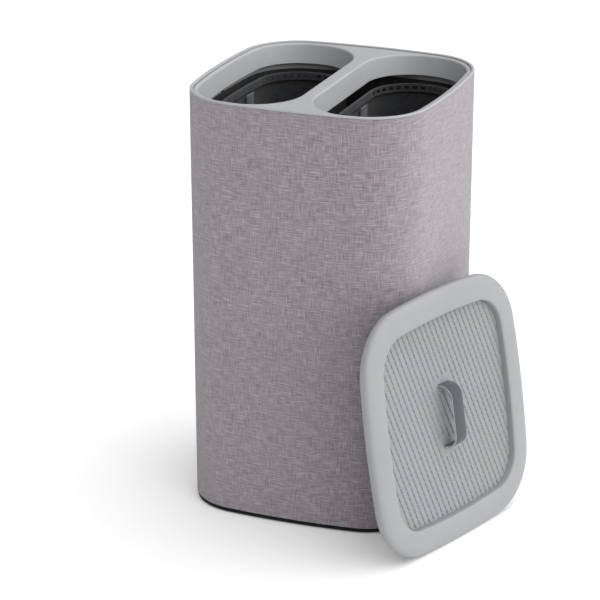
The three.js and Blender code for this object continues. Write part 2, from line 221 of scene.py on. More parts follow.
def shade(piece: bpy.types.Object, smooth_angle: float = 35) -> None:
    """Shade a piece smooth across edges that are flatter than an angle in degrees.

    Args:
        piece: The object, in object mode.
        smooth_angle: The angle in degrees.
    """
    focus(piece)
    bpy.ops.object.shade_smooth_by_angle(angle=math.radians(smooth_angle))
    clear_selection()


def join_pieces(pieces: Sequence[bpy.types.Object], name: str) -> bpy.types.Object:
    """Join pieces into the first one and name it.

    Args:
        pieces: The objects to join.
        name: The joined piece's name.

    Returns:
        The joined piece.
    """
    clear_selection()
    for piece in pieces:
        piece.select_set(True)
    bpy.context.view_layer.objects.active = pieces[0]
    if len(pieces) > 1:
        bpy.ops.object.join()
    joined = bpy.context.object
    joined.name = name
    joined.data.name = name
    clear_selection()
    return joined


# ---- sections and paths ----------------------------------------------------------------


def rounded(corners: Sequence[tuple[float, float, float]], steps: int = 5) -> list[Point]:
    """Replace corners by arcs.

    Args:
        corners: Points as (a, b, radius); a radius of 0 keeps the corner sharp.
        steps: The number of steps in each arc.

    Returns:
        The rounded line. Its first and last points are kept.
    """
    line: list[Point] = []
    for i, (a, b, radius) in enumerate(corners):
        if radius == 0 or i in (0, len(corners) - 1):
            line.append((a, b))
            continue
        here = Vector((a, b))
        to_last = (Vector(corners[i - 1][:2]) - here).normalized()
        to_next = (Vector(corners[i + 1][:2]) - here).normalized()
        half = to_last.angle(to_next) / 2
        centre = here + (to_last + to_next).normalized() * radius / math.sin(half)
        begin = here + to_last * radius / math.tan(half) - centre
        end = here + to_next * radius / math.tan(half) - centre
        turn = begin.angle_signed(end)
        for k in range(steps + 1):
            spoke = begin.copy()
            spoke.rotate(Matrix.Rotation(-turn * k / steps, 2))
            line.append(tuple(centre + spoke))
    return line


def flowing(knots: Sequence[Point], steps: int = 3) -> list[Point]:
    """A smooth line through points (Catmull-Rom).

    Args:
        knots: The points to pass through.
        steps: The number of steps between two points.

    Returns:
        The smooth line, from the first to the last point.
    """
    points = [Vector(knot) for knot in knots]
    points = [2 * points[0] - points[1], *points, 2 * points[-1] - points[-2]]
    line: list[Point] = []
    for p0, p1, p2, p3 in zip(points, points[1:], points[2:], points[3:]):
        for k in range(steps):
            t = k / steps
            line.append(tuple(0.5 * (2 * p1 + (p2 - p0) * t + (2 * p0 - 5 * p1 + 4 * p2 - p3) * t**2
                                     + (3 * p1 - p0 - 3 * p2 + p3) * t**3)))
    return [*line, tuple(points[-2])]


@dataclass(frozen=True)
class Turn:
    """A stretch of a path that turns about an axis through a point, counter-clockwise.

    Attributes:
        centre: The point.
        angle: The angle turned; a negative one turns clockwise.
        steps: The number of steps.
        axis: The axis.
    """

    centre: Point | tuple[float, float, float]
    angle: float
    steps: int
    axis: Vector = Z_AXIS

    def sweep(self) -> None:
        """Spin what is selected along this stretch."""
        bpy.ops.mesh.spin(steps=self.steps, angle=-self.angle, center=tuple(self.centre3()),
                          axis=tuple(self.axis), dupli=False, use_auto_merge=False)

    def centre3(self) -> Vector:
        """The centre as a place in space."""
        return Vector((*self.centre, 0.0)[:3])

    def trace(self, point: Vector) -> list[Vector]:
        """The places of a point along this stretch.

        Args:
            point: Where the point is at the start.

        Returns:
            Its place after each step.
        """
        centre = self.centre3()
        return [Matrix.Rotation(self.angle * k / self.steps, 3, self.axis) @ (point - centre) + centre
                for k in range(1, self.steps + 1)]


@dataclass(frozen=True)
class Run:
    """A straight stretch of a path.

    Attributes:
        shift: From its start to its end.
        steps: The number of steps.
    """

    shift: tuple[float, float, float]
    steps: int = 1

    def sweep(self) -> None:
        """Extrude what is selected along this stretch."""
        for _ in range(self.steps):
            extrude_by(Vector(self.shift) / self.steps)

    def trace(self, point: Vector) -> list[Vector]:
        """The places of a point along this stretch."""
        return [point + Vector(self.shift) * k / self.steps for k in range(1, self.steps + 1)]


@dataclass(frozen=True)
class Path:
    """A path that a section is swept along, open or closed.

    Attributes:
        start: The place of the section's origin at the start.
        stretches: The turns and runs, in order.
        closed: True if the path comes back to its start.
    """

    start: Vector
    stretches: tuple[Turn | Run, ...]
    closed: bool = True

    def line(self) -> np.ndarray:
        """The path as points, one row each.

        Returns:
            The points in metres.
        """
        points = [self.start]
        for stretch in self.stretches:
            points.extend(stretch.trace(points[-1]))
        return np.array([tuple(point) for point in points])

    def unroll(self, places: np.ndarray) -> np.ndarray:
        """How far along the path each place lies.

        Args:
            places: One row for each place.

        Returns:
            The length from the start to the nearest point of the path.
        """
        line = self.line()
        begin, along = line[:-1], np.diff(line, axis=0)
        lengths = np.linalg.norm(along, axis=1)
        before = np.concatenate([[0], np.cumsum(lengths)[:-1]])
        result = np.empty(len(places))
        for chunk in np.array_split(np.arange(len(places)), max(1, len(places) // 4000)):
            offset = places[chunk, None, :] - begin[None]
            share = (offset * along).sum(-1) / lengths**2
            share = share.clip(0, 1)
            gap = np.linalg.norm(offset - share[..., None] * along, axis=-1)
            nearest = gap.argmin(1)
            rows = np.arange(len(chunk))
            result[chunk] = before[nearest] + share[rows, nearest] * lengths[nearest]
        return result

    def length(self) -> float:
        """The path's whole length."""
        return float(np.linalg.norm(np.diff(self.line(), axis=0), axis=1).sum())


def draw_section(section: Sequence[Vector], closed: bool) -> None:
    """Draw a section as a chain of extruded vertices, and leave it selected.

    Args:
        section: The places of the section's points at the start of the path.
        closed: True to join the last point to the first.
    """
    piece = bpy.context.object
    bpy.ops.object.mode_set(mode="OBJECT")
    first = len(piece.data.vertices)
    bpy.ops.object.mode_set(mode="EDIT")
    bpy.ops.mesh.select_all(action="DESELECT")
    bpy.ops.mesh.select_mode(type="VERT")
    bpy.ops.mesh.primitive_plane_add(size=MM, location=section[0])
    bpy.ops.mesh.merge(type="CENTER")
    for last, point in zip(section, section[1:]):
        bpy.ops.mesh.extrude_vertices_move(TRANSFORM_OT_translate={"value": tuple(point - last)})
    bpy.ops.object.mode_set(mode="OBJECT")
    for index, vertex in enumerate(piece.data.vertices):
        near = min((vertex.co - end).length for end in (section[0], section[-1])) < 0.002 * MM
        vertex.select = index >= first and (near or not closed)
    bpy.ops.object.mode_set(mode="EDIT")
    if closed:
        bpy.ops.mesh.edge_face_add()
        bpy.ops.mesh.select_linked()


def sweep(path: Path, section: Sequence[Vector], closed_section: bool) -> None:
    """Draw a section in the mesh being edited and sweep it along a path.

    Args:
        path: The path. An open one gets end faces if the section is closed.
        section: The places of the section's points at the start of the path.
        closed_section: True if the section is a closed outline.
    """
    draw_section(section, closed_section)
    capped = closed_section and not path.closed
    if capped:
        bpy.ops.mesh.edge_face_add()
        bpy.ops.mesh.duplicate()
    for stretch in path.stretches:
        stretch.sweep()


def places_of(piece: bpy.types.Object) -> np.ndarray:
    """The places of a piece's vertices, one row each.

    Args:
        piece: The object.

    Returns:
        The places in metres.
    """
    places = np.empty(len(piece.data.vertices) * 3)
    piece.data.vertices.foreach_get("co", places)
    return places.reshape(-1, 3)


def set_uv(piece: bpy.types.Object, path: Path, across: Callable[[np.ndarray], np.ndarray]) -> None:
    """Give a piece a UV map in metres: along a path, and across it.

    Args:
        piece: The object, in object mode.
        path: The path that the first coordinate follows.
        across: Takes the places, one row each, and gives the second coordinate.
    """
    mesh, places = piece.data, places_of(piece)
    along, side = path.unroll(places * path_plane(path)), across(places)
    corners = np.empty(len(mesh.loops), np.int32)
    mesh.loops.foreach_get("vertex_index", corners)
    u, v = along[corners], side[corners]
    if path.closed:
        whole = path.length()
        starts = np.empty(len(mesh.polygons), np.int32)
        mesh.polygons.foreach_get("loop_start", starts)
        face = np.repeat(np.arange(len(starts)), np.diff([*starts, len(corners)]))
        highest = np.maximum.reduceat(u, starts)
        u = np.where(highest[face] - u > whole / 2, u + whole, u)
    layer = mesh.uv_layers[0] if mesh.uv_layers else mesh.uv_layers.new(name="UVMap")
    layer.name = "cloth"
    layer.data.foreach_set("uv", np.column_stack([u, v]).ravel())


def path_plane(path: Path) -> np.ndarray:
    """A mask that drops the coordinate in which a path doesn't move, unless it is off zero.

    Args:
        path: The path.

    Returns:
        Three factors of 0 or 1.
    """
    line = path.line()
    flat = np.ptp(line, axis=0) < 1e-6
    return np.where(flat & (np.abs(line[0]) < 1e-6), 0.0, 1.0)


# ---- outlines of the object -------------------------------------------------------------


@dataclass(frozen=True)
class ArchedSquare:
    """A square outline with shallow arched sides and round corners.

    Attributes:
        half: Middle to the middle of a side.
        corner: The corners' radius.
        side: The sides' radius.
        side_steps: Steps in half a side.
        corner_steps: Steps in a corner.
    """

    half: float
    corner: float
    side: float
    side_steps: int = 12
    corner_steps: int = 24

    @property
    def side_centre(self) -> float:
        """Where a side's arc is centred, on the side's own axis."""
        return self.half - self.side

    @property
    def corner_centre(self) -> float:
        """Where a corner's arc is centred, along X and along Y.

        Returns:
            The distance in metres.
        """
        reach = self.side_centre
        rest = reach**2 - (self.side - self.corner) ** 2
        return (2 * reach + math.sqrt(4 * reach**2 - 8 * rest)) / 4

    @property
    def meet(self) -> float:
        """Half the angle of a side's arc."""
        return math.atan2(self.corner_centre, self.corner_centre - self.side_centre)

    def path(self) -> Path:
        """The outline as a closed path from the middle of the right side.

        Returns:
            Four sides and four corners, counter-clockwise.
        """
        stretches: list[Turn] = []
        for quarter in range(4):
            turn = Matrix.Rotation(quarter * math.pi / 2, 2)
            side = tuple(turn @ Vector((self.side_centre, 0)))
            corner = tuple(turn @ Vector((self.corner_centre, self.corner_centre)))
            next_side = tuple(turn @ Vector((0, self.side_centre)))
            stretches += [
                Turn(side, self.meet, self.side_steps),
                Turn(corner, math.pi / 2 - 2 * self.meet, self.corner_steps),
                Turn(next_side, self.meet, self.side_steps),
            ]
        return Path(Vector((self.half, 0, 0)), tuple(stretches))

    def section(self, points: Sequence[Point]) -> list[Vector]:
        """Section points (inset, height) in millimetres as places at the path's start."""
        return [Vector((self.half - inset * MM, 0, z * MM)) for inset, z in points]


@dataclass(frozen=True)
class Opening:
    """Outline of one opening: three sides of the body's outline and the bridge.

    Attributes:
        rim: The body's outline at the rim.
        side: Which bag's opening.
        margin: The rim's outline to the opening's edge.
        bridge: Half the bridge's width.
        bend: Radius of the corners at the bridge.
        bend_steps: Steps in each of those corners.
        bridge_steps: Steps along the bridge.
    """

    rim: ArchedSquare
    side: Side
    margin: float = 0.011
    bridge: float = 0.010
    bend: float = 0.070
    bend_steps: int = 20
    bridge_steps: int = 20

    @property
    def half(self) -> float:
        """Middle of the hamper to the opening's far edge."""
        return self.rim.half - self.margin

    @property
    def bend_centre(self) -> Vector:
        """Centre of the back corner at the bridge, for the right opening.

        Returns:
            The centre in metres.
        """
        x = self.bridge + self.bend
        arch = self.rim.side - self.margin - self.bend
        return Vector((x, self.rim.side_centre + math.sqrt(arch**2 - x**2)))

    def path(self) -> Path:
        """The outline as a closed path from the middle of the outer side, back corner first.

        Returns:
            The path, mirrored for the left opening.
        """
        sign = self.side.value
        rim, bend = self.rim, self.bend_centre
        bend_start = math.atan2(bend.y - rim.side_centre, bend.x)

        def turn(x: float, y: float, angle: float, steps: int) -> Turn:
            """A turn of the right opening, mirrored for the left one.

            Args:
                x: The centre's X.
                y: The centre's Y.
                angle: The angle turned.
                steps: The number of steps.

            Returns:
                The turn.
            """
            return Turn((sign * x, y), sign * angle, steps)

        back = [
            turn(rim.side_centre, 0, rim.meet, rim.side_steps),
            turn(rim.corner_centre, rim.corner_centre, math.pi / 2 - 2 * rim.meet, rim.corner_steps),
            turn(0, rim.side_centre, bend_start - math.pi / 2 + rim.meet, 2),
            turn(bend.x, bend.y, math.pi - bend_start, self.bend_steps),
        ]
        front = [Turn((step.centre[0], -step.centre[1]), step.angle, step.steps)
                 for step in reversed(back)]
        bridge = Run((0, -2 * bend.y, 0), self.bridge_steps)
        return Path(Vector((sign * self.half, 0, 0)), (*back, bridge, *front))

    def section(self, points: Sequence[Point]) -> list[Vector]:
        """Section points (inset, height) in millimetres as places at the path's start."""
        sign = self.side.value
        return [Vector((sign * (self.half - inset * MM), 0, z * MM)) for inset, z in points]


RIM = ArchedSquare(half=0.175, corner=0.084, side=0.960)
LID = ArchedSquare(half=0.176, corner=0.086, side=1.200)
FOOT_SCALE = 0.979
RIM_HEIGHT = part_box("rim_trim")[1][2]


def taper(piece: bpy.types.Object) -> None:
    """Draw a piece in towards the floor, as the body narrows.

    Args:
        piece: The object, in object mode, built at the rim's full width.
    """
    mesh, places = piece.data, places_of(piece)
    scale = FOOT_SCALE + (1 - FOOT_SCALE) * places[:, 2:] / RIM_HEIGHT
    places[:, :2] *= scale
    mesh.vertices.foreach_set("co", places.ravel())
    mesh.update()


# ---- node graphs --------------------------------------------------------------------------


class Graph:
    """A material's nodes, with a short call for each kind that the finishes use."""

    def __init__(self, name: str) -> None:
        """Start a material with one principled shader.

        Args:
            name: The material's name.
        """
        self.material = bpy.data.materials.new(name)
        self.material.use_nodes = True
        self.nodes = self.material.node_tree.nodes
        self.links = self.material.node_tree.links
        self.shader = next(node for node in self.nodes if node.type == "BSDF_PRINCIPLED")

    def node(self, kind: str, inputs: dict[str | int, object], **settings: object) -> bpy.types.Node:
        """Add a node.

        Args:
            kind: The node's type name.
            inputs: Values or sockets for its inputs, by name or number.
            **settings: The node's own settings.

        Returns:
            The new node.
        """
        node = self.nodes.new(kind)
        for key, value in settings.items():
            setattr(node, key, value)
        for key, value in inputs.items():
            if isinstance(value, bpy.types.NodeSocket):
                self.links.new(value, node.inputs[key])
            else:
                node.inputs[key].default_value = value
        return node

    def math(self, operation: str, *values: object, clamp: bool = False) -> bpy.types.NodeSocket:
        """Add a Math node and give its output."""
        inputs = dict(enumerate(values))
        return self.node("ShaderNodeMath", inputs, operation=operation, use_clamp=clamp).outputs[0]

    def coords(self, scale: tuple[float, float, float] = (1, 1, 1)) -> bpy.types.NodeSocket:
        """Object coordinates times a scale."""
        source = self.node("ShaderNodeTexCoord", {}).outputs["Object"]
        return self.node("ShaderNodeMapping", {"Vector": source, "Scale": scale}).outputs[0]

    def uv(self) -> tuple[bpy.types.NodeSocket, bpy.types.NodeSocket]:
        """The two coordinates of the piece's own UV map, in metres.

        Returns:
            The coordinate along the piece and the one across it.
        """
        source = self.node("ShaderNodeUVMap", {}, uv_map="cloth").outputs[0]
        split = self.node("ShaderNodeSeparateXYZ", {0: source})
        return split.outputs[0], split.outputs[1]

    def vector(self, x: object, y: object, z: object = 0.0) -> bpy.types.NodeSocket:
        """Three values as one vector."""
        return self.node("ShaderNodeCombineXYZ", {0: x, 1: y, 2: z}).outputs[0]

    def noise(self, vector: object, scale: float, detail: float = 2, rough: float = 0.5,
              ) -> bpy.types.NodeSocket:
        """Noise from 0 to 1.

        Args:
            vector: Where the noise is read.
            scale: Its scale.
            detail: Its octaves.
            rough: How strong the fine octaves are.

        Returns:
            The noise as a value.
        """
        return self.node("ShaderNodeTexNoise", {
            "Vector": vector, "Scale": scale, "Detail": detail, "Roughness": rough}).outputs[0]

    def span(self, value: object, low: float, high: float, to_low: float = 0, to_high: float = 1,
             ) -> bpy.types.NodeSocket:
        """Map a range of a value to another range, and clamp it."""
        return self.node("ShaderNodeMapRange", {
            0: value, 1: low, 2: high, 3: to_low, 4: to_high}).outputs[0]

    def blend(self, factor: object, first: object, second: object) -> bpy.types.NodeSocket:
        """Mix two colours.

        Args:
            factor: The share of the second.
            first: A colour or a socket.
            second: A colour or a socket.

        Returns:
            The mixed colour.
        """
        node = self.node("ShaderNodeMix", {0: factor}, data_type="RGBA")
        for key, value in ((6, first), (7, second)):
            if isinstance(value, bpy.types.NodeSocket):
                self.links.new(value, node.inputs[key])
            else:
                node.inputs[key].default_value = (*value, 1.0)
        return node.outputs[2]

    def lerp(self, factor: object, first: object, second: object) -> bpy.types.NodeSocket:
        """Mix two values."""
        return self.node("ShaderNodeMix", {0: factor, 2: first, 3: second}, data_type="FLOAT").outputs[0]

    def finish(self, colour: object, roughness: object, height: object = None,
               depth: float = 0.0003, **fixed: object) -> bpy.types.Material:
        """Wire the shader.

        Args:
            colour: Base colour, a socket or three values.
            roughness: Roughness, a socket or a value.
            height: Relief from 0 to 1.
            depth: What a relief of 1 stands for, in metres.
            **fixed: Values set on the shader's own sockets, by name with _ for spaces.

        Returns:
            The material.
        """
        if isinstance(colour, bpy.types.NodeSocket):
            self.links.new(colour, self.shader.inputs["Base Color"])
        else:
            self.shader.inputs["Base Color"].default_value = (*colour, 1.0)
        if isinstance(roughness, bpy.types.NodeSocket):
            self.links.new(roughness, self.shader.inputs["Roughness"])
        else:
            self.shader.inputs["Roughness"].default_value = roughness
        if height is not None:
            bump = self.node("ShaderNodeBump", {"Height": height, "Distance": depth, "Strength": 1.0})
            self.links.new(bump.outputs[0], self.shader.inputs["Normal"])
        for key, value in fixed.items():
            self.shader.inputs[key.replace("_", " ")].default_value = value
        return self.material


@dataclass(frozen=True)
class Woven:
    """Plain-woven cloth whose yarns differ in tone and have slubs; reads the cloth UV map.

    Attributes:
        name: The material's name.
        dark: Colour of the darkest yarns.
        light: Colour of the lightest yarns.
        pitch: Distance between two yarns.
        slub: How strongly thick pale and dark stretches show, from 0 to 1.
        depth: Relief of the weave.
        sheen: Weight of the fibres' sheen.
        weft_slub: Length and height of the slubs that lie across.
        warp_slub: Width and length of the slubs that stand.
        drift: Lengths along a yarn over which its tone and its bands change.
    """

    name: str
    dark: Colour
    light: Colour
    pitch: float = 0.0008
    slub: float = 1.0
    depth: float = 0.00035
    sheen: float = 0.25
    weft_slub: Point = (0.021, 0.0015)
    warp_slub: Point = (0.0014, 0.017)
    drift: Point = (0.022, 0.016)

    def material(self) -> bpy.types.Material:
        """Build the material.

        Returns:
            The material.
        """
        g = Graph(self.name)
        u, v = g.uv()
        pu, pv = g.math("DIVIDE", u, self.pitch), g.math("DIVIDE", v, self.pitch)
        iu, iv = g.math("FLOOR", pu), g.math("FLOOR", pv)
        fu, fv = g.math("FRACT", pu), g.math("FRACT", pv)
        over = g.math("ABSOLUTE", g.math("MODULO", g.math("ADD", iu, iv), 2.0))

        def ridge(part: bpy.types.NodeSocket) -> bpy.types.NodeSocket:
            """Height of a round yarn across its own width."""
            centred = g.math("SUBTRACT", g.math("MULTIPLY", part, 2.0), 1.0)
            return g.math("SUBTRACT", 1.0, g.math("MULTIPLY", centred, centred))

        warp_height = g.math("MULTIPLY", ridge(fu), g.lerp(0.45, ridge(fv), 1.0))
        weft_height = g.math("MULTIPLY", ridge(fv), g.lerp(0.45, ridge(fu), 1.0))
        height = g.lerp(over, weft_height, warp_height)

        def tones(across: bpy.types.NodeSocket, along: bpy.types.NodeSocket, seed: float,
                  ) -> bpy.types.NodeSocket:
            """Tone of each yarn: it varies from yarn to yarn, and slowly along each.

            Args:
                across: The yarn's number.
                along: Where it is read along the yarn.
                seed: Sets the two directions apart.

            Returns:
                The tone from 0 to 1.
            """
            slow, band_length = (g.math("DIVIDE", along, length) for length in self.drift)
            yarn = g.noise(g.vector(g.math("MULTIPLY", across, 0.73), slow, seed),
                           1.0, detail=1.0, rough=0.6)
            band = g.noise(g.vector(g.math("MULTIPLY", across, 0.33), band_length, seed + 9),
                           1.0, detail=1.0, rough=0.5)
            return g.lerp(0.5, g.span(yarn, 0.28, 0.72), g.span(band, 0.3, 0.7))

        warp_tone, weft_tone = tones(iu, v, 1.0), tones(iv, u, 5.0)
        own = g.lerp(over, weft_tone, warp_tone)
        both = g.lerp(0.5, warp_tone, weft_tone)
        tone = g.lerp(0.35, own, both)

        weft_slub, warp_slub = (
            g.noise(g.vector(g.math("DIVIDE", u, size[0]), g.math("DIVIDE", v, size[1]), seed), 1.0, 1.0)
            for size, seed in ((self.weft_slub, 21.0), (self.warp_slub, 33.0)))
        cloud = g.noise(g.vector(u, v), 22.0, 3.0, 0.55)
        pale = g.math("MAXIMUM", g.span(weft_slub, 0.58, 0.70, 0, 1.25),
                      g.span(warp_slub, 0.60, 0.72, 0, 0.9))
        deep = g.math("MAXIMUM", g.span(weft_slub, 0.40, 0.26), g.span(warp_slub, 0.38, 0.24))
        tone = g.math("ADD", tone, g.math("MULTIPLY", pale, 0.60 * self.slub))
        tone = g.math("SUBTRACT", tone, g.math("MULTIPLY", deep, 0.30 * self.slub))
        tone = g.math("ADD", tone, g.span(cloud, 0.3, 0.7, -0.03, 0.03), clamp=True)
        colour = g.blend(tone, self.dark, self.light)
        # Painted shade: the colour is darkened where the yarns dip, down to 0.62 in the gaps between them.
        gap = g.span(height, 0.0, 0.55, 0.62, 1.0)
        colour = g.node("ShaderNodeMix", {0: 1.0, 6: colour, 7: g.vector(gap, gap, gap)},
                        data_type="RGBA", blend_type="MULTIPLY").outputs[2]
        relief = g.math("ADD", height, g.math("MULTIPLY", pale, 0.6))
        return g.finish(colour, g.span(tone, 0, 1, 0.95, 0.82), relief, self.depth,
                        Sheen_Weight=self.sheen, Sheen_Roughness=0.45, Specular_IOR_Level=0.2)


@dataclass(frozen=True)
class Moulded:
    """Moulded plastic with a fine spark-eroded grain.

    Attributes:
        name: The material's name.
        colour: The plastic's colour.
        roughness: Its middle roughness.
        grain: Relief of the grain, in metres.
        grain_scale: Grains in a metre.
        drift: How far the colour drifts over the piece, as a share.
        specular: The shader's specular level.
    """

    name: str
    colour: Colour
    roughness: float = 0.48
    grain: float = 0.00003
    grain_scale: float = 2600.0
    drift: float = 0.035
    specular: float = 0.45

    def material(self) -> bpy.types.Material:
        """Build the material.

        Returns:
            The material.
        """
        g = Graph(self.name)
        place = g.coords()
        cloud = g.noise(place, 9.0, 3.0, 0.6)
        fine = g.noise(place, self.grain_scale, 2.0, 0.6)
        scuff = g.noise(g.coords((1.0, 1.0, 6.0)), 60.0, 4.0, 0.7)
        shade_by = g.math("ADD", g.span(cloud, 0.3, 0.7, -self.drift, self.drift),
                          g.span(fine, 0.2, 0.8, -0.02, 0.02))
        low = tuple(part * 0.9 for part in self.colour)
        high = tuple(min(1.0, part * 1.1) for part in self.colour)
        colour = g.blend(g.math("ADD", g.math("MULTIPLY", shade_by, 5.0), 0.5, clamp=True), low, high)
        rough = g.math("ADD", g.span(scuff, 0.35, 0.75, -0.05, 0.07), self.roughness, clamp=True)
        return g.finish(colour, rough, g.math("ADD", fine, g.math("MULTIPLY", scuff, 0.3)),
                        self.grain, Specular_IOR_Level=self.specular)


@dataclass(frozen=True)
class Tape:
    """Ribbed woven tape; reads the cloth UV map with 0 along its middle.

    Attributes:
        name: The material's name.
        colour: Colour of the tape's face.
        edge: Colour of its woven edges; set lighter than the face, it paints a highlight along them.
        half: Half the tape's width.
        rib: Distance between two ribs.
        twill: Distance between two slanting yarns.
        edge_highlight_band: Where the lighter edge colour begins and is full, in from the tape's side; it is
            a painted highlight along the woven edges.
    """

    name: str
    colour: Colour
    edge: Colour
    half: float = 0.0125
    rib: float = 0.0011
    twill: float = 0.0016
    edge_highlight_band: Point = (0.0014, 0.0004)

    def material(self) -> bpy.types.Material:
        """Build the material.

        Returns:
            The material.
        """
        g = Graph(self.name)
        u, v = g.uv()
        rib = g.math("ABSOLUTE", g.math("SINE", g.math("MULTIPLY", u, math.pi / self.rib)))
        slant = g.math("MULTIPLY", g.math("ADD", u, g.math("PINGPONG", v, self.twill)),
                       2 * math.pi / self.twill)
        twill = g.span(g.math("SINE", slant), -1, 1)
        yarn = g.noise(g.vector(g.math("DIVIDE", u, 0.012), g.math("DIVIDE", v, 0.0007)), 1.0, 1.0)
        height = g.lerp(0.45, twill, rib)
        # Partly painted shade: the tone rises with the ribs' height, so raised ribs are lighter and grooves
        # darker, on top of the yarns' own tone.
        tone = g.math("ADD", g.math("MULTIPLY", height, 0.45), g.span(yarn, 0.25, 0.75, 0.1, 0.55),
                      clamp=True)
        dark = tuple(part * 0.62 for part in self.colour)
        light = tuple(min(1.0, part * 1.3) for part in self.colour)
        face = g.blend(tone, dark, light)
        # Painted highlight: the tape turns to the lighter edge colour along both its sides.
        rim = g.span(g.math("ABSOLUTE", v), *(self.half - inset for inset in self.edge_highlight_band))
        colour = g.blend(rim, face, self.edge)
        return g.finish(colour, 0.82, height, 0.0003, Sheen_Weight=0.3, Sheen_Roughness=0.4,
                        Specular_IOR_Level=0.25)


@dataclass(frozen=True)
class Fibre:
    """Pressed fibre board or rubber: mottled, matt, with fibres or pits.

    Attributes:
        name: The material's name.
        colour: Its main colour.
        other: The colour it is mottled with.
        scale: Fibres or pits in a metre.
        roughness: Its greatest roughness.
        relief: Depth of the fibres or pits, in metres.
    """

    name: str
    colour: Colour
    other: Colour
    scale: float
    roughness: float
    relief: float = 0.0001

    def material(self) -> bpy.types.Material:
        """Build the material.

        Returns:
            The material.
        """
        g = Graph(self.name)
        fibres = g.noise(g.coords((1, 1, 0.25)), self.scale, 6.0, 0.7)
        specks = g.noise(g.coords(), self.scale * 4, 2.0, 0.5)
        tone = g.lerp(0.35, g.span(fibres, 0.3, 0.7), g.span(specks, 0.35, 0.65))
        return g.finish(g.blend(tone, self.colour, self.other),
                        g.span(tone, 0, 1, self.roughness, self.roughness - 0.1), tone, self.relief)


@dataclass(frozen=True)
class Plated:
    """Zinc-plated steel, lightly brushed.

    Attributes:
        name: The material's name.
        colour: Colour of the plating.
    """

    name: str = "plated_steel"
    colour: Colour = (0.62, 0.62, 0.64)

    def material(self) -> bpy.types.Material:
        """Build the material.

        Returns:
            The material.
        """
        g = Graph(self.name)
        brushed = g.noise(g.coords((1, 1, 12)), 900.0, 3.0, 0.6)
        dark = tuple(part * 0.8 for part in self.colour)
        return g.finish(g.blend(brushed, dark, self.colour), g.span(brushed, 0, 1, 0.25, 0.42),
                        brushed, 0.00002, Metallic=1.0)


class Finishes:
    """All finishes, each built once."""

    def __init__(self) -> None:
        """Build the materials."""
        self.linen = Woven("mauve_linen", (0.175, 0.150, 0.166), (0.449, 0.409, 0.436),
                           sheen=0.55).material()
        self.thread = Moulded("linen_thread", (0.30, 0.275, 0.288), 0.85, 0.0001, 5000.0).material()
        self.grey = Moulded("grey_plastic", (0.360, 0.364, 0.374)).material()
        # Painted shade: the lid is the same grey plastic as the frame, given a darker colour so that it
        # looks less lit.
        self.lid = Moulded("lid_plastic", (0.283, 0.288, 0.299), 0.42).material()
        self.mesh = Moulded("mesh_plastic", (0.250, 0.255, 0.267), 0.52).material()
        self.black = Moulded("black_plastic", (0.005, 0.005, 0.006), 0.55, 0.00004,
                             specular=0.2).material()
        # Partly its own dark grey and partly painted shade: the board is made near black so that the gaps
        # where it shows look shaded.
        self.board = Fibre("fibre_board", (0.020, 0.020, 0.021), (0.040, 0.040, 0.042),
                           160.0, 0.9).material()
        self.rubber = Fibre("pad_rubber", (0.010, 0.010, 0.010), (0.022, 0.022, 0.022),
                            700.0, 0.9).material()
        self.charcoal = Woven("charcoal_cloth", (0.017, 0.018, 0.020), (0.060, 0.062, 0.067),
                              pitch=0.0006, slub=0.25, depth=0.00025, sheen=0.15).material()
        self.seam_thread = Moulded("charcoal_thread", (0.075, 0.078, 0.083), 0.8, 0.0001, 5000.0).material()
        self.webbing = Tape("handle_webbing", (0.085, 0.093, 0.100), (0.11, 0.118, 0.126)).material()
        # The loop's edges are far lighter than its face: a painted highlight along its edges.
        self.loop = Tape("lid_loop_webbing", (0.062, 0.073, 0.082), (0.33, 0.36, 0.37)).material()
        self.steel = Plated().material()

    def by_slot(self, slot: Slot) -> bpy.types.Material:
        """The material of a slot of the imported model.

        Args:
            slot: The slot.

        Returns:
            Its material.
        """
        return {
            Slot.LINEN: self.linen, Slot.GREY: self.grey, Slot.MESH: self.mesh, Slot.BLACK: self.black,
            Slot.BOARD: self.board, Slot.CHARCOAL: self.charcoal, Slot.WEBBING: self.webbing,
            Slot.RUBBER: self.rubber, Slot.STEEL: self.steel,
        }[slot]


def dress(piece: bpy.types.Object, material: bpy.types.Material, slot: Slot, body: str,
          *stands_for: str) -> bpy.types.Object:
    """Give a piece its material, its body and the CAD nodes it stands for.

    Args:
        piece: The finished piece.
        material: Its material.
        slot: The slot that it takes its finish from; not used.
        body: The body it rides on.
        *stands_for: The CAD nodes it replaces.

    Returns:
        The piece.
    """
    piece.data.materials.clear()
    piece.data.materials.append(material)
    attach(piece, body)
    if stands_for:
        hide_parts(*stands_for)
    log.info("%s: %d faces on %s", piece.name, len(piece.data.polygons), body)
    return piece


# ---- stitches -------------------------------------------------------------------------------


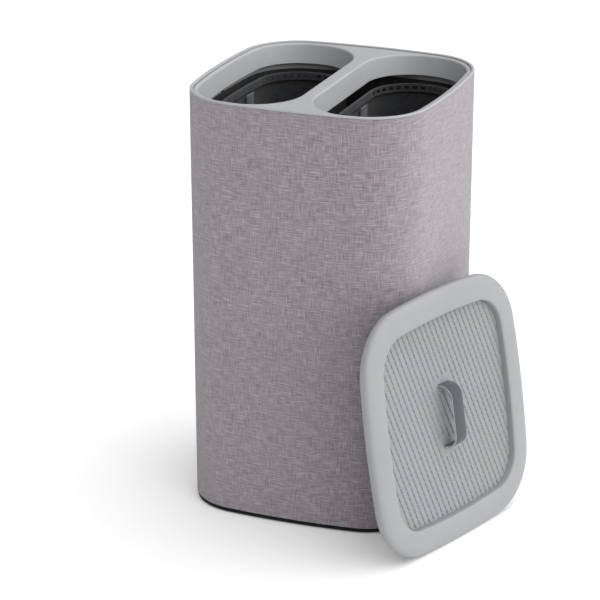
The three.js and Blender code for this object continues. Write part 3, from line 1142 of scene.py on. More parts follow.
@dataclass(frozen=True)
class Stitch:
    """One sewn stitch: a short round-ended rod.

    Attributes:
        length: Length on the cloth.
        gap: Distance to the next stitch.
        radius: The thread's radius.
    """

    length: float = 0.0030
    gap: float = 0.0012
    radius: float = 0.00032

    def row(self, name: str, places: Sequence[tuple[Vector, Vector]]) -> bpy.types.Object:
        """Make a row of stitches.

        Args:
            name: The new piece's name.
            places: The middle and the direction of each stitch.

        Returns:
            One piece that holds all of them.
        """
        clear_selection()
        bpy.ops.mesh.primitive_cylinder_add(vertices=6, radius=self.radius, depth=self.length * 0.7)
        piece = bpy.context.object
        bpy.ops.object.mode_set(mode="EDIT")
        for end in (-1, 1):
            select_where(piece, lambda co, end=end: co.z * end > 0)
            extrude_by(Vector((0, 0, end * self.length * 0.15)))
            bpy.ops.transform.resize(value=(0.45, 0.45, 1))
        bpy.ops.object.mode_set(mode="OBJECT")
        rod = np.array([tuple(vertex.co) for vertex in piece.data.vertices])
        faces = [tuple(polygon.vertices) for polygon in piece.data.polygons]
        clear_selection()
        points, polygons = [], []
        for middle, along in places:
            turn = np.array(along.to_track_quat("Z", "Y").to_matrix())
            base = len(points) * len(rod)
            points.append(rod @ turn.T + np.array(middle))
            polygons.extend(tuple(base + index for index in face) for face in faces)
        mesh = bpy.data.meshes.new(name)
        mesh.from_pydata(np.concatenate(points).tolist(), [], polygons)
        stitches = bpy.data.objects.new(name, mesh)
        bpy.context.collection.objects.link(stitches)
        bpy.data.objects.remove(piece)
        shade(stitches, 60)
        return stitches

    def along(self, line: Sequence[Vector]) -> list[tuple[Vector, Vector]]:
        """Space stitches along a line.

        Args:
            line: The points of the sewn line.

        Returns:
            The middle and the direction of each stitch.
        """
        points = np.array([tuple(point) for point in line])
        lengths = np.linalg.norm(np.diff(points, axis=0), axis=1)
        total = np.concatenate([[0], np.cumsum(lengths)])
        count = max(1, int(total[-1] // (self.length + self.gap)))
        step = total[-1] / count
        places = []
        for k in range(count):
            ends = [(k + 0.5) * step - self.length / 2, (k + 0.5) * step + self.length / 2]
            a, b = (Vector([float(np.interp(at, total, points[:, i])) for i in range(3)]) for at in ends)
            places.append(((a + b) / 2, (b - a).normalized()))
        return places


# ---- hamper body ------------------------------------------------------------------------------


@dataclass
class Body:
    """The cloth cover with its back seam and stitches, the rim trim and the black lip under the tray.

    Attributes:
        cloth: Thickness of the cover.
        bottom: Lower edge of the cover.
        top: Upper edge of the cover.
        seam_half: Half the width of the lap at the back seam.
        seam_proud: How far the lap stands proud.
        seam_allowance: Cloth that the lap takes up, in metres.
        edge_allowance: Cloth turned in at both edges, in metres.
        slack: Greatest unevenness of the stretched cloth, in metres.
        trim_low: Underside of the rim's trim.
        trim_width: Width of the rim's trim.
    """

    cloth: float = 1.2
    bottom: float = 7.0
    top: float = 596.9
    seam_half: float = 0.006
    seam_proud: float = 0.0007
    seam_allowance: float = 0.012
    edge_allowance: float = 0.02
    slack: float = 0.00022
    trim_low: float = 597.2
    trim_width: float = 4.7

    def cover_section(self) -> list[Point]:
        """Section of the cover, with both edges turned in.

        Returns:
            The points as (inset, height) in millimetres.
        """
        rows = 88
        rise = (self.top - self.bottom - 4) / rows
        outer = [(0.0, self.bottom + 2 + k * rise) for k in range(rows + 1)]
        low = rounded([(self.cloth, self.bottom, 0), (0, self.bottom, 0.9), (0, self.bottom + 2, 0)], 4)
        high = rounded([(0, self.top - 2, 0), (0, self.top, 0.8), (self.cloth, self.top, 0)], 4)
        return [*low[:-1], *outer, *high[1:]]

    def build_cover(self) -> bpy.types.Object:
        """The stretched cover, with a trace of slack in it.

        Returns:
            The cover.
        """
        outline = ArchedSquare(RIM.half, RIM.corner, RIM.side, side_steps=24, corner_steps=30)
        piece = start_mesh("cover_cloth")
        sweep(outline.path(), outline.section(self.cover_section()), True)
        finish_mesh(piece, 60)
        taper(piece)
        for vertex in piece.data.vertices:
            z = vertex.co.z
            free = min(1.0, (z - self.bottom * MM) / 0.03, (self.top * MM - z) / 0.02)
            if free <= 0:
                continue
            wave = noise.noise(Vector((vertex.co.x * 9, vertex.co.y * 9, z * 5)))
            out = Vector((vertex.co.x, vertex.co.y, 0)).normalized()
            vertex.co += out * (wave * self.slack * free)
        set_uv(piece, RIM.path(), lambda places: places[:, 2])
        shade(piece, 60)
        return piece

    def back_line(self, x: float, proud: float) -> list[Vector]:
        """Places up the middle of the back, at an x and a distance off the cover.

        Args:
            x: Its distance from the middle.
            proud: Its distance off the cover.

        Returns:
            The places in metres, from the bottom up.
        """
        line = []
        for z in np.linspace(self.bottom + 4, self.top - 3, 60) * MM:
            scale = FOOT_SCALE + (1 - FOOT_SCALE) * z / RIM_HEIGHT
            reach = RIM.side * scale
            y = RIM.side_centre * scale + math.sqrt(reach**2 - x**2) + proud
            line.append(Vector((x, y, z)))
        return line

    def build_seam(self) -> bpy.types.Object:
        """The lapped seam down the middle of the back.

        Returns:
            The seam.
        """
        piece = start_mesh("cover_back_seam")
        half, thick = self.seam_half, self.seam_proud
        y = RIM.half - 0.0004
        corners = [(-half, y, 0), (-half * 0.93, y + thick + 0.0003, 0.0004), (0, y + thick + 0.0004, 0),
                   (half * 0.93, y + thick + 0.0003, 0.0004), (half, y, 0)]
        section = [Vector((a, b, (self.bottom + 2.5) * MM)) for a, b in rounded(corners, 3)]
        height = (self.top - self.bottom - 4) * MM
        sweep(Path(section[0], (Run((0, 0, height), 60),), closed=False), section, True)
        finish_mesh(piece, 50)
        taper(piece)
        layer = piece.data.uv_layers.new(name="cloth")
        for loop in piece.data.loops:
            co = piece.data.vertices[loop.vertex_index].co
            layer.data[loop.index].uv = (co.x + 0.1003, co.z + 0.0021)
        return piece

    def build_lip_and_shade_band(self) -> bpy.types.Object:
        """The downturned black lip under the tray, just clear of the floor; it also fills the gap under the
        tray, standing in for the shade there.

        Returns:
            The lip.
        """
        # Partly painted shade: this black band reaches down to 1.3 mm off the floor, over the gap under the
        # tray where shade falls.
        section = rounded([(2.4, 1.3, 0), (1.5, 1.3, 0.4), (1.5, 4.3, 0.2), (3.6, 4.3, 0.2),
                           (3.6, 1.3, 0.4), (2.4, 1.3, 0)], 3)
        piece = start_mesh("base_tray_lip")
        sweep(RIM.path(), RIM.section(section[:-1]), True)
        finish_mesh(piece, 40)
        taper(piece)
        return piece

    def build_trim(self) -> bpy.types.Object:
        """The light ring that closes the rim.

        Returns:
            The ring.
        """
        low, high, wide = self.trim_low, RIM_HEIGHT / MM, self.trim_width
        section = rounded([(0.5, low, 0), (0.0, low, 0.3), (0.0, high, 1.1), (wide, high, 1.2),
                           (wide, low, 0.3), (0.5, low, 0)], 5)
        piece = start_mesh("rim_trim_ring")
        sweep(RIM.path(), RIM.section(section[:-1]), True)
        finish_mesh(piece, 40)
        return piece

    def build(self, finishes: Finishes) -> None:
        """Build and dress the body's pieces.

        Args:
            finishes: The materials.
        """
        cover = dress(self.build_cover(), finishes.linen, Slot.LINEN, "hamper", "fabric_cover")
        seam = dress(self.build_seam(), finishes.linen, Slot.LINEN, "hamper")
        rows = []
        for x in (-self.seam_half * 0.72, self.seam_half * 0.72):
            rows += Stitch().along(self.back_line(x, self.seam_proud + 0.0001))
        sewn = dress(Stitch().row("cover_back_stitches", rows), finishes.thread, Slot.LINEN, "hamper")
        flat = (RIM.path().length() + self.seam_allowance,
                (self.top - self.bottom) * MM + self.edge_allowance)
        dress(self.build_trim(), finishes.grey, Slot.GREY, "hamper", "rim_trim")
        dress(self.build_lip_and_shade_band(), finishes.black, Slot.BLACK, "hamper")


# ---- top frame ----------------------------------------------------------------------------------


@dataclass
class TopFrame:
    """The moulding in the rim: skirt, flat top, bridge and two sloping collars.

    Attributes:
        skirt_outer: The rim's outline to the skirt's outer face.
        skirt_inner: The rim's outline to the skirt's inner face.
        skirt_bottom: Lower edge of the skirt.
        top: Height of the flat top.
        under: Underside of the flat top.
        collar_bottom: Lower edge of the collars.
        collar_lean: How far a collar slopes in on its way down.
        collar_wall: Thickness of a collar at its lower edge.
    """

    skirt_outer: float = 5.2
    skirt_inner: float = 7.4
    skirt_bottom: float = 560.0
    top: float = 598.0
    under: float = 595.4
    collar_bottom: float = 570.0
    collar_lean: float = 7.0
    collar_wall: float = 2.5

    def build(self, finishes: Finishes) -> None:
        """Build and dress the frame.

        Args:
            finishes: The materials.
        """
        piece = start_mesh("top_frame_moulding")
        skirt = rounded([
            (self.skirt_inner, self.under, 0), (self.skirt_inner, self.skirt_bottom, 0.6),
            (self.skirt_outer, self.skirt_bottom, 0.6), (self.skirt_outer, self.top, 1.2),
            (self.skirt_outer + 1.6, self.top, 0),
        ], 5)
        sweep(RIM.path(), RIM.section(skirt), False)
        collar = rounded([
            (-3.4, self.top, 0), (0.0, self.top, 3.2), (self.collar_lean, self.collar_bottom, 1.0),
            (self.collar_lean - self.collar_wall, self.collar_bottom, 1.0), (-2.2, self.under, 0),
        ], 7)
        for side in Side:
            opening = Opening(RIM, side)
            sweep(opening.path(), opening.section(collar), False)
        bpy.ops.mesh.select_all(action="SELECT")
        bpy.ops.mesh.remove_doubles(threshold=SAME_PLACE)
        fill_level(piece, self.top * MM)
        fill_level(piece, self.under * MM)
        finish_mesh(piece, 50)
        apply_modifier(piece, "WEIGHTED_NORMAL", keep_sharp=True)
        dress(piece, finishes.grey, Slot.GREY, "hamper", "top_frame")


# ---- bags -----------------------------------------------------------------------------------------


@dataclass
class Bag:
    """One lift-out cloth bag: shell with hem, base board, patches and two handles.

    Insets are from the opening's outline, in millimetres, as heights are.

    Attributes:
        side: Which of the two bags.
        wall: Inset of the wall at the top.
        foot: Inset of the wall at the floor.
        hem_inner: Inset of the hem's inner face.
        hem_low: Lower edge of the hem.
        hem_top: Upper edge of the bag.
        floor: Height of the bag's floor.
        cloth: Thickness of the cloth.
        fold: Depth of the deepest fold, in metres.
        patch_half: Half a patch's length, in metres.
        patch_low: Lower edge of the patches.
        patch_high: Upper edge of the patches.
        patch_near: Inset of a patch's back.
        patch_far: Inset of a patch's face.
        strap: Width of the handles' webbing, in metres.
        strap_bend: Outer radius of a handle's corners, in metres.
        allowances: Cloth that the seam and the hem take up, in metres.
    """

    side: Side
    wall: float = 9.4
    foot: float = 12.4
    hem_inner: float = 13.2
    hem_low: float = 547.6
    hem_top: float = 559.0
    floor: float = 7.1
    cloth: float = 0.6
    fold: float = 0.0034
    patch_half: float = 0.072
    patch_low: float = 480.0
    patch_high: float = 545.0
    patch_near: float = 11.3
    patch_far: float = 12.8
    strap: float = 0.025
    strap_bend: float = 0.034
    allowances: Point = (0.02, 0.03)

    @property
    def name(self) -> str:
        """The bag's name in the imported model."""
        return f"{self.side.name.lower()}_bag"

    def build_shell(self) -> bpy.types.Object:
        """The bag's cloth, from the hem's inner edge over the hoop and down to the floor.

        Returns:
            The cloth, with its thickness.
        """
        outline = Opening(ArchedSquare(RIM.half, RIM.corner, RIM.side, 16, 26), self.side,
                          bend_steps=26, bridge_steps=44)
        hem = rounded([
            (10.3, self.hem_low - 1.6, 0), (self.hem_inner, self.hem_low, 1.4),
            (self.hem_inner, self.hem_top, 1.8), (self.wall, self.hem_top, 1.8),
            (self.wall, self.hem_top - 8, 0),
        ], 5)
        drop = np.linspace(self.hem_top - 12, 20, 84)
        lean = (self.foot - self.wall) / (self.hem_top - self.floor)
        walls = [(self.wall + (self.hem_top - z) * lean, float(z)) for z in drop]
        base = rounded([walls[-1] + (0,), (self.foot, self.floor, 5.0), (self.foot + 12, self.floor, 0)], 6)
        piece = start_mesh(f"{self.name}_cloth")
        sweep(outline.path(), outline.section([*hem, *walls[:-1], *base]), False)
        bpy.ops.mesh.select_all(action="SELECT")
        bpy.ops.mesh.remove_doubles(threshold=SAME_PLACE)
        fill_level(piece, self.floor * MM)
        finish_mesh(piece, 70)
        self.fold_cloth(piece, outline.path())
        set_uv(piece, outline.path(), lambda places: places[:, 2])
        apply_modifier(piece, "SOLIDIFY", thickness=self.cloth * MM, offset=0.0, use_even_offset=True)
        shade(piece, 70)
        return piece

    def fold_cloth(self, piece: bpy.types.Object, path: Path) -> None:
        """Let the walls sag and fold between the hoop and the floor.

        Args:
            piece: The bag's cloth, still without thickness.
            path: The outline it was swept along.
        """
        mesh = piece.data
        normals = [vertex.normal.copy() for vertex in mesh.vertices]
        along = path.unroll(places_of(piece) * (1, 1, 0))
        middle = Vector((self.side.value * 0.087, 0, 0))
        for vertex, normal, s in zip(mesh.vertices, normals, along):
            z = vertex.co.z
            fade = min(1.0, max(0.0, ((self.hem_top - 13) * MM - z) / 0.09), max(0.0, (z - 0.016) / 0.05))
            if fade <= 0:
                continue
            out = Vector((normal.x, normal.y, 0))
            if out.length < 1e-6:
                continue
            out.normalize()
            if out.dot(Vector((vertex.co.x, vertex.co.y, 0)) - middle) < 0:
                out.negate()
            seed = 3.7 * self.side.value
            drape = noise.noise(Vector((s * 21, z * 2.2, seed)))
            crease = 1 - abs(noise.noise(Vector((s * 13 + z * 9, z * 7 - s * 4, seed + 5)))) * 2.4
            small = noise.noise(Vector((s * 55 - z * 20, z * 26, seed + 11)))
            amount = 0.55 * drape + 0.35 * max(crease, 0) ** 3 + 0.14 * small
            near_patch = abs(vertex.co.y) < 0.085 and z > 0.42
            limit = 0.0006 if near_patch else self.fold
            amount = max(-limit / self.fold, amount + 0.25)
            vertex.co += out * (self.fold * amount * fade)
        mesh.update()

    def hem_row(self, outline: Opening, inset: float, z: float) -> list[Vector]:
        """A level line round the bag at an inset.

        Args:
            outline: The bag's opening.
            inset: The inset in millimetres.
            z: The height in millimetres.

        Returns:
            The places of the line.
        """
        path = outline.path()
        shift = Vector((-self.side.value * inset * MM, 0, z * MM))
        points = [path.start + shift]
        for stretch in path.stretches:
            points.extend(stretch.trace(points[-1]))
        return points

    def build_board(self) -> bpy.types.Object:
        """The stiffening board on the bag's floor, wrapped in cloth.

        Returns:
            The wrapped board.
        """
        low, high = (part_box(f"{self.name}_base_board")[end][2] / MM for end in (0, 1))
        opening = Opening(RIM, self.side)
        edge = self.foot + 3.2
        section = rounded([(edge + 6, low, 0), (edge, low, 1.0), (edge, high, 1.0), (edge + 6, high, 0)], 4)
        piece = start_mesh(f"{self.name}_floor_board")
        sweep(opening.path(), opening.section(section), False)
        bpy.ops.mesh.select_all(action="SELECT")
        bpy.ops.mesh.remove_doubles(threshold=SAME_PLACE)
        for level in (low, high):
            fill_level(piece, level * MM)
        finish_mesh(piece, 50)
        set_uv(piece, Path(Vector((0, -1, 0)), (Run((0, 2, 0), 1),), closed=False),
               lambda places: places[:, 0])
        return piece

    def build_patch(self, outer: bool) -> tuple[bpy.types.Object, bpy.types.Object]:
        """A reinforcement patch and its stitches.

        Args:
            outer: True for the patch on the outer wall, False for the one at the bridge.

        Returns:
            The patch and the stitches.
        """
        wall = "outer" if outer else "inner"
        half, low, high = self.patch_half, self.patch_low, self.patch_high
        near, far = self.patch_near, self.patch_far
        sign = self.side.value
        opening = Opening(RIM, self.side)
        piece = start_mesh(f"{self.name}_{wall}_patch")
        section = rounded([((near + far) / 2, low, 0), (near, low, 0.5), (near, high, 0.5), (far, high, 0.6),
                           (far, low, 0.6), ((near + far) / 2, low, 0)], 3)[:-1]
        if outer:
            places = opening.section(section)
            reach = abs(places[0].x) - RIM.side_centre
            angle = math.asin(half / reach)
            centre = (sign * RIM.side_centre, 0)
            back = Matrix.Rotation(-sign * angle, 3, "Z")
            pivot = Vector((*centre, 0))
            places = [back @ (place - pivot) + pivot for place in places]
            path = Path(places[0], (Turn(centre, 2 * sign * angle, 24),), closed=False)
        else:
            places = [Vector((sign * (opening.bridge + inset * MM), -half, z * MM)) for inset, z in section]
            path = Path(places[0], (Run((0, 2 * half, 0), 24),), closed=False)
        sweep(path, places, True)
        finish_mesh(piece, 50)
        set_uv(piece, Path(Vector((0, -1, 0)), (Run((0, 2, 0), 1),), closed=False),
               lambda points: points[:, 2])

        def face(y: float, z: float) -> Vector:
            """A place on the patch's inner face.

            Args:
                y: The distance from the middle.
                z: The height.

            Returns:
                The place in metres.
            """
            if outer:
                reach = opening.half - far * MM - RIM.side_centre
                x = RIM.side_centre + math.sqrt(reach**2 - y**2)
            else:
                x = opening.bridge + far * MM
            off = -0.00015 if outer else 0.00015
            return Vector((sign * (x + off), y, z))

        edge_y, edge_low, edge_high = half - 0.004, (low + 4) * MM, (high - 3) * MM
        ring = [(edge_y, edge_low), (edge_y, edge_high), (-edge_y, edge_high), (-edge_y, edge_low),
                (edge_y, edge_low)]
        rows = []
        for (y0, z0), (y1, z1) in zip(ring, ring[1:]):
            line = [face(y0 + (y1 - y0) * t, z0 + (z1 - z0) * t) for t in np.linspace(0, 1, 13)]
            rows += Stitch().along(line)
        return piece, Stitch().row(f"{self.name}_{wall}_patch_stitches", rows)

    def behind_handle(self, place: Vector) -> bool:
        """Say if a raised handle's webbing passes over a place on the hem.

        Args:
            place: The place.

        Returns:
            True if the webbing of one of the bag's handles passes there.
        """
        for wall in ("inner", "outer"):
            low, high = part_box(f"{self.name}_handle_{wall}")
            beside = low[0] - 0.004 < place.x < high[0] + 0.004
            if beside and high[1] - self.strap - 0.003 < abs(place.y) < high[1] + 0.003:
                return True
        return False

    def build_handle(self, outer: bool) -> tuple[bpy.types.Object, bpy.types.Object]:
        """One handle, folded down inside the bag, and its stitches.

        Args:
            outer: True for the handle on the outer wall, False for the one at the bridge.

        Returns:
            The webbing and the stitches.
        """
        wall = "outer" if outer else "inner"
        low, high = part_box(f"{self.name}_handle_{wall}")
        x, thick = (low[0] + high[0]) / 2, high[0] - low[0]
        reach, top, bottom = high[1], high[2], low[2]
        width, bend = self.strap, self.strap_bend
        half = width / 2 - 0.0002
        line_y, line_low = reach - width / 2, bottom + width / 2
        radius = bend - width / 2
        corner = thick * 0.42
        outline = [(half, -thick / 2, corner), (half, thick / 2, corner),
                   (-half, thick / 2, corner), (-half, -thick / 2, corner)]
        ring = rounded([(0, -thick / 2, 0), *outline, (0, -thick / 2, 0)], 3)[:-1]
        section = [Vector((x + b, -line_y + a, top)) for a, b in ring]
        start = Vector((x, -line_y, top))
        drop = top - line_low - radius
        path = Path(start, (
            Run((0, 0, -drop), 18),
            Turn((x, -line_y + radius, line_low + radius), math.pi / 2, 12, X_AXIS),
            Run((0, 2 * (line_y - radius), 0), 14),
            Turn((x, line_y - radius, line_low + radius), math.pi / 2, 12, X_AXIS),
            Run((0, 0, drop), 18),
        ), closed=False)
        piece = start_mesh(f"{self.name}_{wall}_handle")
        sweep(path, section, True)
        finish_mesh(piece, 60)
        line = path.line()

        def across(places: np.ndarray) -> np.ndarray:
            """Signed distance from the tape's middle line.

            Args:
                places: One row each.

            Returns:
                The distances in metres.
            """
            begin, along = line[:-1, 1:], np.diff(line[:, 1:], axis=0)
            offset = places[:, None, 1:] - begin[None]
            share = ((offset * along).sum(-1) / (along**2).sum(-1)).clip(0, 1)
            rest = offset - share[..., None] * along
            size = np.linalg.norm(rest, axis=-1)
            nearest = size.argmin(1)
            rows = np.arange(len(places))
            way = along[nearest]
            cross = way[:, 0] * rest[rows, nearest, 1] - way[:, 1] * rest[rows, nearest, 0]
            return np.sign(cross) * size[rows, nearest]

        set_uv(piece, path, across)
        face = x + (thick / 2 - 0.0001) * (-1 if x > 0 and outer or x < 0 and not outer else 1)
        sewn = []
        for end in (-1, 1):
            y0, y1 = end * (reach - 0.003), end * (reach - width + 0.003)
            z0, z1 = top - 0.002, top - 0.024
            box = [(y0, z0), (y1, z0), (y1, z1), (y0, z1), (y0, z0), (y1, z1)]
            for (ya, za), (yb, zb) in [*zip(box, box[1:]), ((y1, z0), (y0, z1))]:
                sewn += Stitch().along([Vector((face, ya, za)), Vector((face, yb, zb))])
        return piece, Stitch().row(f"{self.name}_{wall}_handle_stitches", sewn)

    def build(self, finishes: Finishes) -> None:
        """Build and dress the bag's pieces.

        Args:
            finishes: The materials.
        """
        name = self.name
        shell = dress(self.build_shell(), finishes.charcoal, Slot.CHARCOAL, name, f"{name}_shell")
        outline = Opening(RIM, self.side)
        row = self.hem_row(outline, self.hem_inner + 0.3, self.hem_low + 1.9)
        places = [place for place in Stitch().along(row) if not self.behind_handle(place[0])]
        hem = dress(Stitch().row(f"{name}_hem_stitches", places), finishes.seam_thread,
                    Slot.CHARCOAL, name)
        girth = outline.path().length() - 2 * math.pi * self.wall * MM
        seam, turn_in = self.allowances
        dress(self.build_board(), finishes.charcoal, Slot.CHARCOAL, name, f"{name}_base_board")
        for outer in (False, True):
            wall = "outer" if outer else "inner"
            patch, sewn = self.build_patch(outer)
            dress(patch, finishes.charcoal, Slot.CHARCOAL, name, f"{name}_patch_{wall}")
            dress(sewn, finishes.seam_thread, Slot.CHARCOAL, name)
            shell.name
            handle, bars = self.build_handle(outer)
            body = f"{name}_handle_{wall}"
            dress(handle, finishes.webbing, Slot.WEBBING, body, f"{name}_handle_{wall}")
            dress(bars, finishes.seam_thread, Slot.WEBBING, body)


# ---- lid ------------------------------------------------------------------------------------------


@dataclass(frozen=True)
class Panel:
    """Pattern of the lid's panel: a slanting lattice with one slot in each cell.

    Attributes:
        row: Step along a row.
        rise: Step from row to row, and the slots' own direction.
        reach: Cells built to each side of the middle one.
        slot_length: Whole length of a slot at the top.
        slot_width: Width of a slot at the top.
        slot_draft: How far each wall of a slot leans in towards the underside.
        low: Underside.
        high: Top.
        ease: Chamfer round a slot's top edge.
        rim: Width of the solid rim round the slotted field.
        strap_border: Solid border round the strap's slots.
    """

    row: Vector = Vector((0.00957, 0.00191))
    rise: Vector = Vector((-0.00335, 0.00933))
    reach: int = 19
    slot_length: float = 0.0088
    slot_width: float = 0.0025
    slot_draft: float = 0.0010
    low: float = 0.0040
    high: float = 0.0060
    ease: float = 0.0003
    rim: float = 0.0014
    strap_border: float = 0.0016

    def cell(self, place: Vector) -> tuple[int, int]:
        """The cell that a place lies in.

        Args:
            place: The place, in the panel's plane.

        Returns:
            Its numbers along the row and the rise.
        """
        whole = self.row.x * self.rise.y - self.row.y * self.rise.x
        i = (place.x * self.rise.y - place.y * self.rise.x) / whole
        j = (self.row.x * place.y - self.row.y * place.x) / whole
        return round(i), round(j)

    def holds(self, cell: tuple[int, int], edge: np.ndarray, strap: float, gap: Point) -> bool:
        """Say if a cell is part of the panel and clear of the strap's slots.

        Args:
            cell: The cell's numbers.
            edge: The panel's outline, counter-clockwise.
            strap: Middle of the panel to the middle of a strap slot.
            gap: Half the length and half the width of a strap slot.

        Returns:
            True if some of the cell lies in the outline and none of it at the strap's slots.
        """
        middle = self.row * cell[0] + self.rise * cell[1]
        corners = [middle + (self.row * i + self.rise * j) / 2
                   for i, j in ((-1, -1), (1, -1), (1, 1), (-1, 1))]
        after = np.roll(edge, -1, axis=0) - edge
        offset = np.array([tuple(place) for place in corners])[:, None] - edge
        side = after[:, 0] * offset[..., 1] - after[:, 1] * offset[..., 0]
        inside = (side / np.linalg.norm(after, axis=1)).min(1).max() > -0.001
        return inside and not any(abs(place.x) < gap[0] + self.strap_border
                              and abs(abs(place.y) - strap) < gap[1] + self.strap_border + 0.003
                              for place in [*corners, middle])


@dataclass
class Lid:
    """The lid: crowned ring with flange, slotted panel and strap loop, built flat, then leaned.

    Attributes:
        foot: Where the lid's widest line stands on the floor.
        yaw: The way the lid faces.
        lean: Its lean off upright.
        widest: Height of the widest line above the seat.
        panel_inset: The ring's outline to the panel's, in millimetres.
        notch: Middle, size in X, Y and Z of the cut in the flange at each end of the bridge.
        strap_half: Middle of the panel to the middle of a strap slot.
        strap_play: What a strap slot is longer than the strap is wide, on each side.
        strap_slot: Half the width of a strap slot.
        strap_width: Width of the strap.
        strap_thick: Thickness of the strap.
        strap_rise: Height of the loop above the panel.
        strap_bend: Radius of the loop's corners.
    """

    foot: Vector = Vector((0.2363, -0.1194, 0))
    yaw: float = math.radians(-16.52)
    lean: float = math.radians(8.84)
    widest: float = 0.006
    panel_inset: float = 37.0
    notch: tuple[Vector, Vector] = (Vector((0.150, 0, -0.0077)), Vector((0.020, 0.120, 0.0146)))
    strap_half: float = 0.0435
    strap_play: float = 0.0008
    strap_slot: float = 0.0018
    strap_width: float = 0.025
    strap_thick: float = 0.002
    strap_rise: float = 0.022
    strap_bend: float = 0.017

    def pose(self) -> Matrix:
        """From the flat lid's frame to where it leans.

        Returns:
            The matrix.
        """
        out = Vector((math.cos(self.yaw), math.sin(self.yaw), 0))
        across = Vector((-math.sin(self.yaw), math.cos(self.yaw), 0))
        up = Z_AXIS * math.cos(self.lean) - out * math.sin(self.lean)
        face = across.cross(up)
        seat = self.foot + up * LID.half - face * self.widest
        basis = Matrix((across, up, face)).transposed().to_4x4()
        return Matrix.Translation(seat) @ basis

    def settle(self, piece: bpy.types.Object) -> bpy.types.Object:
        """Move a flat piece's mesh to where the lid leans.

        Args:
            piece: The object.

        Returns:
            The same object.
        """
        piece.data.transform(self.pose())
        piece.data.update()
        return piece

    def build_ring(self) -> bpy.types.Object:
        """The crowned ring, with its flange cut back where the bridge passes.

        Returns:
            The ring, where it leans.
        """
        crown = flowing([(1.0, 0.7), (0.2, 2.6), (0.0, 6.0), (0.7, 9.0), (2.8, 11.6), (7.5, 13.6),
                         (15.0, 14.8), (25.0, 15.3), (32.6, 15.1), (35.2, 14.3), (36.2, 12.6),
                         (36.5, 8.0)], 3)
        under = [(36.6, 3.7), (44.0, 3.7), (44.0, 1.7), (34.1, 1.7), (33.6, 11.6), (32.0, 12.6),
                 (28.6, 12.8), (28.5, -13.2), (27.9, -14.0), (26.6, -14.0), (26.0, -13.2), (25.9, 12.7)]
        hollow = flowing([(25.9, 12.7), (16.0, 12.3), (9.0, 11.2), (5.0, 9.6), (3.2, 7.8), (2.6, 6.0),
                          (3.2, 3.0), (5.4, 0.0)], 2)
        section = [(2.4, 0.0), *crown, *under, *hollow[1:]]
        piece = start_mesh("lid_ring")
        sweep(LID.path(), LID.section(section), True)
        finish_mesh(piece, 40)
        for end in (-1, 1):
            clear_selection()
            place, size = self.notch
            bpy.ops.mesh.primitive_cube_add(size=1, location=(end * place.x, place.y, place.z), scale=size)
            cutter = bpy.context.object
            apply_modifier(piece, "BOOLEAN", operation="DIFFERENCE", object=cutter, solver="EXACT")
            bpy.data.objects.remove(cutter)
        shade(piece, 40)
        return self.settle(piece)

    def build_slot(self, panel: "Panel") -> bpy.types.Object:
        """One cell of the panel: a slanted slot with walls and an eased edge.

        Args:
            panel: The panel's pattern.

        Returns:
            The cell, round the origin.
        """
        piece = start_mesh("lid_slotted_panel")
        radius = panel.slot_width / 2 - panel.slot_draft
        stretch = (panel.slot_length - panel.slot_width) / 2
        bpy.ops.mesh.primitive_circle_add(vertices=14, radius=radius, location=(0, 0, panel.low))
        for end in (-1, 1):
            select_where(piece, lambda co, end=end: co.y * end > 0)
            bpy.ops.transform.translate(value=(0, end * stretch, 0))
        bpy.ops.mesh.select_all(action="SELECT")
        wall = panel.high - panel.ease - panel.low
        for rise, grow in ((wall, panel.slot_draft), (panel.ease, panel.ease)):
            extrude_by(Vector((0, 0, rise)))
            bpy.ops.transform.resize(value=(1 + grow / radius, 1 + grow / (radius + stretch), 1))
            radius += grow
        bpy.ops.object.mode_set(mode="OBJECT")
        piece.data.transform(Matrix.Rotation(-Vector((0, 1)).angle_signed(panel.rise), 4, "Z"))
        bpy.ops.object.mode_set(mode="EDIT")
        for level in (panel.low, panel.high):
            ring = [(panel.row * i + panel.rise * j).to_3d() / 2 + Z_AXIS * level
                    for i, j in ((-1, -1), (1, -1), (1, 1), (-1, 1))]
            draw_section(ring, True)
            fill_level(piece, level)
        bpy.ops.object.mode_set(mode="OBJECT")
        return piece

    def build_field(self, panel: "Panel", edge: np.ndarray) -> bpy.types.Object:
        """The slotted field, closed all round, a little larger than the panel.

        Args:
            panel: The panel's pattern.
            edge: The panel's outline, counter-clockwise.

        Returns:
            The field, with the two slots for the strap.
        """
        piece = self.build_slot(panel)
        piece.data.transform(Matrix.Translation(-(panel.row + panel.rise).to_3d() * panel.reach))
        for step in (panel.row, panel.rise):
            apply_modifier(piece, "ARRAY", count=2 * panel.reach + 1, use_relative_offset=False,
                           use_constant_offset=True, constant_offset_displace=step.to_3d(),
                           use_merge_vertices=True, merge_threshold=SAME_LEVEL)
        gap = (self.strap_width / 2 + self.strap_play, self.strap_slot)
        cells = range(-panel.reach, panel.reach + 1)
        kept = {(i, j) for i in cells for j in cells if panel.holds((i, j), edge, self.strap_half, gap)}
        focus(piece)
        bpy.ops.object.mode_set(mode="EDIT")
        select_where(piece, lambda middle: panel.cell(middle) not in kept, faces=True)
        bpy.ops.mesh.delete(type="FACE")
        thick = panel.high - panel.low
        for end in (-1, 1):
            ring = [Vector((x * gap[0], end * self.strap_half + y * gap[1], panel.low))
                    for x, y in ((-1, -1), (1, -1), (1, 1), (-1, 1))]
            draw_section(ring, True)
            bpy.ops.mesh.extrude_edges_move(TRANSFORM_OT_translate={"value": (0, 0, thick)})
        bpy.ops.mesh.select_all(action="SELECT")
        bpy.ops.mesh.remove_doubles(threshold=SAME_LEVEL)
        for level in (panel.low, panel.high):
            fill_level(piece, level, lambda co: abs(co.x) < 0.035 and abs(co.y) < 0.070)
        select_open(piece, panel.low)
        bpy.ops.mesh.extrude_edges_move(TRANSFORM_OT_translate={"value": (0, 0, thick)})
        finish_mesh(piece, 30)
        return piece

